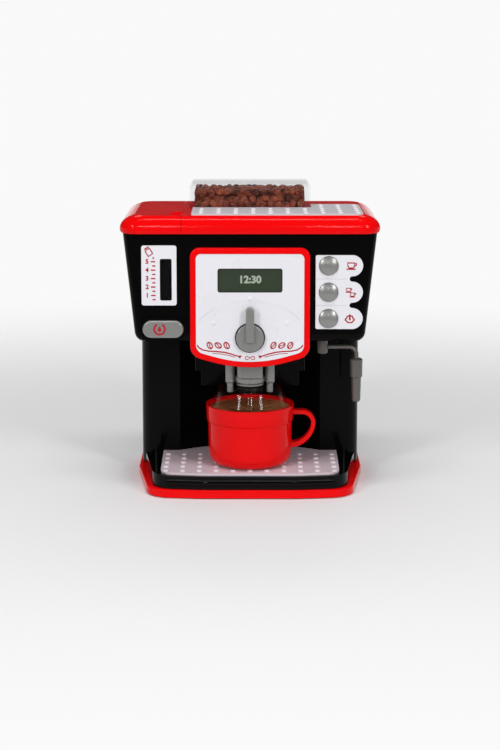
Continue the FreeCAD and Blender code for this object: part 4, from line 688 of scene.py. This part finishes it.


# Thin grey lines between the lobes are painted shade in the grooves.
for i, height in enumerate(GROOVE_HEIGHTS):
    mark(f"panel_groove_shade_{i}", [([(GROOVE_FROM, height), (GROOVE_TO, height)], GROOVE_WIDE, False)],
         [], key_front, finish_name="panel_groove_shade")
mark("one_cup_mark", cup_lines(*ONE_CUP), [], key_front)
mark("two_cups_mark", cup_lines(*FIRST_OF_TWO) + cup_lines(*SECOND_OF_TWO), [], key_front)
cloud = [(-4.2, -0.6), (-2.4, 1.0), (-2.6, 2.2), (-1.0, 2.6)]
basin = [(-4.2, -0.6), (-1.6, -3.2), (1.6, -3.2), (4.2, -0.6)]
jet = [(0, -1.2), (0, 3.2)]
jet_head = [(-1.5, 2.6), (1.5, 2.6), (0, 4.4)]
steam_lines = [(moved(shape, *STEAM_SPOT), LINE_WIDE, False)
               for shape in (cloud, mirrored(cloud), basin)]
mark("steam_mark", steam_lines + [(moved(jet, *STEAM_SPOT), SPOUT_WIDE, False)],
     [moved(jet_head, *STEAM_SPOT)], key_front)
print("drink marks printed")

# %% [markdown]
# ## The central panel
# A dark window shows a pale number. Below, the knob turns between three small raised dots, under a
# faint flat arch, and the foot of the panel carries a thin swash with a little ornament. Where the
# swash rises at each side, a row of three coffee beans fills the space. The dark ring round the
# knob is painted shade in its gap, and the arch is a thin grey line of painted shade.

# %% The number, the dots and the lines round them
FACE_SET_BACK = 0.15
DISPLAY_UP = 194.3
DISPLAY_NUMBER_HIGH = 6.4
KNOB = (0, 143.2)
KNOB_GAP_SHADE_RADIUS = 12.7
DARK_LINE_WIDE = 0.75
WINDOW_EDGE_WIDE = 0.8
DOT_REACH = 34.6
DOT_ANGLES = (22, 90, 158)
DOT_RADIUS = 2.3
DOT_RISE = 0.5
RIDGE_RADIUS = 48.9
RIDGE_FLATNESS = 0.685
RIDGE_WIDE = 0.32
RIDGE_FROM, RIDGE_TO = 27, 84
face_front = front_of("face_panel") + FACE_SET_BACK
lettering("display_number", "12:30", 0, DISPLAY_UP, DISPLAY_NUMBER_HIGH, front_of("display_card"),
          "display_light")


def dome(mesh, x, y, z, radius, rise, forward=False, rings=3, sides=14):
    """A low round swelling that faces up, or to the front."""
    rows = []
    for i in range(rings):
        turn = math.pi / 2 * i / rings
        spread, lift = radius * math.cos(turn), rise * math.sin(turn)
        row = []
        for k in range(sides):
            a = 2 * math.pi * k / sides
            u, v = spread * math.cos(a), spread * math.sin(a)
            row.append(mesh.verts.new((x + u, y - lift, z + v) if forward
                                      else (x + u, y + v, z + lift)))
        rows.append(row)
    top = mesh.verts.new((x, y - rise, z) if forward else (x, y, z + rise))
    for low, high in zip(rows, rows[1:]):
        for k in range(sides):
            mesh.faces.new((low[k], low[(k + 1) % sides], high[(k + 1) % sides], high[k]))
    for k in range(sides):
        mesh.faces.new((rows[-1][k], rows[-1][(k + 1) % sides], top))


dots = bmesh.new()
for angle in DOT_ANGLES:
    a = math.radians(angle)
    dome(dots, KNOB[0] + DOT_REACH * math.cos(a), face_front, KNOB[1] + DOT_REACH * math.sin(a),
         DOT_RADIUS, DOT_RISE, forward=True)
finished_mesh("stop_dots", dots, "white_panel", "machine", smooth=True)
# The dark ring round the knob is painted shade in the gap between knob and panel.
mark("knob_gap_shade", [(arc(KNOB_GAP_SHADE_RADIUS, 0, 360, 48, KNOB)[:-1], DARK_LINE_WIDE, True)], [],
     face_front, finish_name="dark_recess")
# The flat arch is a thin grey line of painted shade along its edge.
ridge = arc(RIDGE_RADIUS, RIDGE_FROM, RIDGE_TO, 24, KNOB, squash=RIDGE_FLATNESS)
mark("panel_ridge_shade", [(ridge, RIDGE_WIDE, False), (mirrored(ridge), RIDGE_WIDE, False)], [],
     face_front, finish_name="panel_groove_shade")
low_left, high_right = (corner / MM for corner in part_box("display_card"))
frame_corners = [(low_left.x, low_left.z), (high_right.x, low_left.z),
                 (high_right.x, high_right.z), (low_left.x, high_right.z)]
mark("window_edge", [(frame_corners, WINDOW_EDGE_WIDE, True)], [], front_of("display_window"),
     finish_name="dark_recess")
print("number, dots and lines set")

# %% The swash and its ornament
SWASH_WIDE = 0.7
INNER_SWASH_WIDE = 0.35
SCROLL_WIDE = 0.4
SCROLL_MIDDLE = (-2.6, 125.2)
SCROLL_RADIUS = 1.5
SCROLL_FROM, SCROLL_TO = 20, 340
BEAD_MIDDLE = (0, 125.4)
BEAD_RADIUS = 0.8
swash = [(-46.4, 136.8), (-45.0, 134.6), (-41.5, 132.4), (-36.0, 131.3), (-29.0, 131.0),
         (-22.0, 130.2), (-16.0, 128.6), (-11.0, 126.9)]
inner_swash = [(-33.0, 129.2), (-26.0, 128.9), (-19.0, 127.6), (-13.0, 125.8)]
triangle = [(-11.4, 127.4), (-6.8, 127.4), (-9.0, 124.6)]
scroll = arc(SCROLL_RADIUS, SCROLL_FROM, SCROLL_TO, 16, SCROLL_MIDDLE)
bead = arc(BEAD_RADIUS, 0, 360, 12, BEAD_MIDDLE)
lines = []
for shape, width in ((swash, SWASH_WIDE), (inner_swash, INNER_SWASH_WIDE), (scroll, SCROLL_WIDE)):
    lines.append((shape, width, False))
    lines.append((mirrored(shape), width, False))
mark("panel_swash", lines, [triangle, mirrored(triangle), bead], face_front)
print("swash printed")

# %% The rows of coffee beans
BEAN_LEANS = (60, 35, 60)
FIRST_BEAN = 20.5
BEAN_PITCH = 7.4
BEANS_UP = 136.4
BEAN_HALF = 3.1
BEAN_FLATNESS = 0.66
BEAN_LINE_WIDE = 0.6
CREASE_LINE_WIDE = 0.5


def bean_mark(x, z, lean):
    """A bean's outline and its crease, leaning by an angle."""
    outline = arc(BEAN_HALF, 0, 360, 20, squash=BEAN_FLATNESS)[:-1]
    crease = [(-3.0, 0), (-1.2, 0.55), (1.2, -0.55), (3.0, 0)]
    c, s = math.cos(math.radians(lean)), math.sin(math.radians(lean))
    turned = [[(x + u * c - v * s, z + u * s + v * c) for u, v in shape]
              for shape in (outline, crease)]
    return [(turned[0], BEAN_LINE_WIDE, True), (turned[1], CREASE_LINE_WIDE, False)]


bean_lines = []
for side in (-1, 1):
    for i, lean in enumerate(BEAN_LEANS):
        bean_lines += bean_mark(side * (FIRST_BEAN + i * BEAN_PITCH), BEANS_UP, lean * side)
mark("bean_row", bean_lines, [], face_front)
print("bean marks:", len(BEAN_LEANS) * 2)

# %% [markdown]
# ## Raised dots on the plate for warming cups
# The plate on the cap has straight rows of low round pips. Their near white is a painted highlight,
# for the light they catch. They fill the strip in front of the bean box and the field beside it. A
# pip is a flat dome, and the whole field is one mesh, because nobody picks out a single pip.

# %% The field of pips
PIP_COLUMNS, PIP_ROWS = 10, 5
FIRST_PIP = (-43.2, -50.5)
PIP_PITCH = (15.36, 16.5)
PIP_RADIUS = 2.3
PIP_RISE = 0.6
PIP_MARGIN = 1.0
LAST_PIP_BACK = 22.0
plate_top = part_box("cup_plate")[1].z / MM
hopper_start, hopper_end = (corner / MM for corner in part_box("hopper_cover"))
pips = bmesh.new()
for row in range(PIP_ROWS):
    for column in range(PIP_COLUMNS):
        x = FIRST_PIP[0] + column * PIP_PITCH[0]
        y = FIRST_PIP[1] + row * PIP_PITCH[1]
        beside = x > hopper_end.x + PIP_RADIUS + PIP_MARGIN
        in_front = y < hopper_start.y - PIP_RADIUS - PIP_MARGIN
        if (beside or in_front) and y < LAST_PIP_BACK:
            dome(pips, x, y, plate_top, PIP_RADIUS, PIP_RISE)
# Their near white finish is a painted highlight.
finished_mesh("plate_pips", pips, "plate_pip", "machine", smooth=True)
print("pips placed")

# %% [markdown]
# ## The beans in the box
# Under the clear cover sits a moulded heap of beans. A smooth block would look like chocolate, so
# the heap is built from some hundreds of small beans: each is a squashed ball with a crease, laid
# at a chance angle, over a dark core that fills the gaps with painted shade. The chance is seeded,
# so that the heap is the same each time.

# %% One bean
BEAN_LONG = 9.2
BEAN_WIDE = 6.4
BEAN_DEEP = 4.6
# The crease is measured on a ball of diameter 1, before it is squashed.
CREASE_HALF_WIDE = 0.17
CREASE_DEEP = 0.16
CREASE_ABOVE = 0.1
ball = bmesh.new()
bmesh.ops.create_uvsphere(ball, u_segments=12, v_segments=8, radius=0.5)
bean_shape = []
for vert in ball.verts:
    creased = abs(vert.co.x) < CREASE_HALF_WIDE and vert.co.z > CREASE_ABOVE
    crease = CREASE_DEEP if creased else 0.0
    bean_shape.append(Vector((vert.co.x * BEAN_WIDE, vert.co.y * BEAN_LONG,
                              (vert.co.z - crease) * BEAN_DEEP)))
bean_faces = [[vert.index for vert in face.verts] for face in ball.faces]
ball.free()
print("one bean:", len(bean_faces), "faces")

# %% The heap of beans
chance = random.Random(7)
BEAN_STEP = 6.6
BEAN_ROW_STEP = 5.4
BEAN_STRAY = (1.0, 0.8)
BEAN_TILT = 0.4
ROW_OFFSET = 3.2
HEAP_EDGE = 3
BEAN_SINK = 2.4
SINK_SPREAD = 1.6
low, high = (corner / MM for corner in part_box("bean_insert"))
heap_points, heap_faces = [], []


def lay_bean(spot, facing):
    """Add one bean, turned by chance about the direction that it faces."""
    turn = (facing @ Matrix.Rotation(chance.uniform(0, 2 * math.pi), 3, "Z")
            @ Matrix.Rotation(chance.uniform(-BEAN_TILT, BEAN_TILT), 3, "X"))
    first = len(heap_points)
    moved_points = [turn @ point + spot for point in bean_shape]
    shift = Vector([max(0, low[k] - min(p[k] for p in moved_points))
                    - max(0, max(p[k] for p in moved_points) - high[k]) for k in range(3)])
    heap_points.extend(point + shift for point in moved_points)
    heap_faces.extend([first + index for index in face] for face in bean_faces)


def lay_layer(first, last, spot_at, facing):
    """Beans over a rectangle, in rows that are half a step apart."""
    row = 0
    v = first[1]
    while v <= last[1]:
        u = first[0] + (row % 2) * ROW_OFFSET
        while u <= last[0]:
            spot = spot_at(u + chance.uniform(-BEAN_STRAY[0], BEAN_STRAY[0]),
                           v + chance.uniform(-BEAN_STRAY[1], BEAN_STRAY[1]))
            lay_bean(spot - facing @ Vector((0, 0, chance.uniform(0, SINK_SPREAD))), facing)
            u += BEAN_STEP
        v += BEAN_ROW_STEP
        row += 1


UPRIGHT = Matrix.Identity(3)
FORWARD = Matrix.Rotation(math.pi / 2, 3, "X")
SIDEWAYS = Matrix.Rotation(math.pi / 2, 3, "Y")
inner_low = low + Vector((HEAP_EDGE, HEAP_EDGE, HEAP_EDGE))
inner_high = high - Vector((HEAP_EDGE, HEAP_EDGE, HEAP_EDGE))
lay_layer(inner_low.xy, inner_high.xy, lambda u, v: Vector((u, v, high.z - BEAN_SINK)), UPRIGHT)
for depth in (low.y + BEAN_SINK, high.y - BEAN_SINK):
    lay_layer(inner_low.xz, inner_high.xz, lambda u, v, depth=depth: Vector((u, depth, v)), FORWARD)
for across in (low.x + BEAN_SINK, high.x - BEAN_SINK):
    lay_layer(inner_low.yz, inner_high.yz,
              lambda u, v, across=across: Vector((across, u, v)), SIDEWAYS)
heap = bmesh.new()
made = [heap.verts.new(point) for point in heap_points]
for face in heap_faces:
    heap.faces.new([made[index] for index in face])
beans = finished_mesh("roasted_beans", heap, "bean_brown", "machine", smooth=True)
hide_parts("bean_insert")
print("beans:", len(heap_faces) // len(bean_faces), "faces:", len(heap_faces))

# %% The dark core under the beans
CORE_INSET = 3.4
CORE_CORNER = 2.5
# The core's near-black brown is painted shade, for the shade deep in the gaps between the beans.
core = bmesh.new()
bmesh.ops.create_cube(core, size=1.0)
size = high - low
for vert in core.verts:
    vert.co = Vector((vert.co.x * (size.x - 2 * CORE_INSET), vert.co.y * (size.y - 2 * CORE_INSET),
                      vert.co.z * (size.z - CORE_INSET) - CORE_INSET / 2)) + (low + high) / 2
bmesh.ops.bevel(core, geom=core.edges[:], offset=CORE_CORNER, segments=3, affect="EDGES")
finished_mesh("bean_core", core, "bean_shadow", "machine", smooth=True)
print("core placed")

# %% [markdown]
# ## Small marks behind and below
# Every screw head has a cross recess, drawn as two short dark bars of painted shade. The screws
# are found by their own solids: each loose piece is one screw, its long side says which way it
# points, and its head is the end that shows. By the switch stand the words ON and OFF.

# %% Painted shade for each cross recess
RECESS_LONG = 3.4
RECESS_WIDE = 0.8
WELD = 0.02


def loose_parts(solid):
    """The lowest and highest corners, in millimetres, of each separate part of a solid."""
    mesh = bmesh.new()
    mesh.from_mesh(solid.data)
    bmesh.ops.remove_doubles(mesh, verts=mesh.verts, dist=WELD * MM)
    waiting = set(mesh.verts)
    while waiting:
        edge_of_part = [waiting.pop()]
        part = list(edge_of_part)
        while edge_of_part:
            vert = edge_of_part.pop()
            for edge in vert.link_edges:
                other = edge.other_vert(vert)
                if other in waiting:
                    waiting.remove(other)
                    edge_of_part.append(other)
                    part.append(other)
        spots = [solid.matrix_world @ vert.co / MM for vert in part]
        yield (Vector([min(spot[k] for spot in spots) for k in range(3)]),
               Vector([max(spot[k] for spot in spots) for k in range(3)]))
    mesh.free()


def bar(mesh, middle, first, second):
    """A flat bar about a point, with its half sides as two directions."""
    mesh.faces.new([mesh.verts.new(middle + first * a + second * b)
                    for a, b in ((-1, -1), (1, -1), (1, 1), (-1, 1))])


recess_shades = bmesh.new()
for name in ("housing_screws", "battery_screw"):
    for start, end in loose_parts(nodes[name]):
        middle = (start + end) / 2
        if end.y - start.y > end.z - start.z:
            spot, other = Vector((middle.x, end.y + INK_LIFT, middle.z)), Vector((0, 0, 1))
        else:
            spot, other = Vector((middle.x, middle.y, start.z - INK_LIFT)), Vector((0, 1, 0))
        across = Vector((1, 0, 0))
        bar(recess_shades, spot, across * RECESS_LONG / 2, other * RECESS_WIDE / 2)
        bar(recess_shades, spot, across * RECESS_WIDE / 2, other * RECESS_LONG / 2)
print("recesses:", len(recess_shades.faces) // 2)
finished_mesh("cross_recess_shades", recess_shades, "dark_recess", "machine")

# %% The switch's words
WORDS_ASIDE = 5.2
WORDS_ABOVE = 7.5
WORD_HIGH = 3.0
cover_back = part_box("rear_cover")[1].y / MM
slide_low, slide_high = (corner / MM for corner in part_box("power_switch"))
switch_middle = (slide_low + slide_high) / 2
for word, side in (("ON", 1), ("OFF", -1)):
    lettering("switch_" + word, word, switch_middle.x + side * WORDS_ASIDE,
              switch_middle.z + WORDS_ABOVE, WORD_HIGH, cover_back, "inner_plastic", behind=True)
print("switch words set")
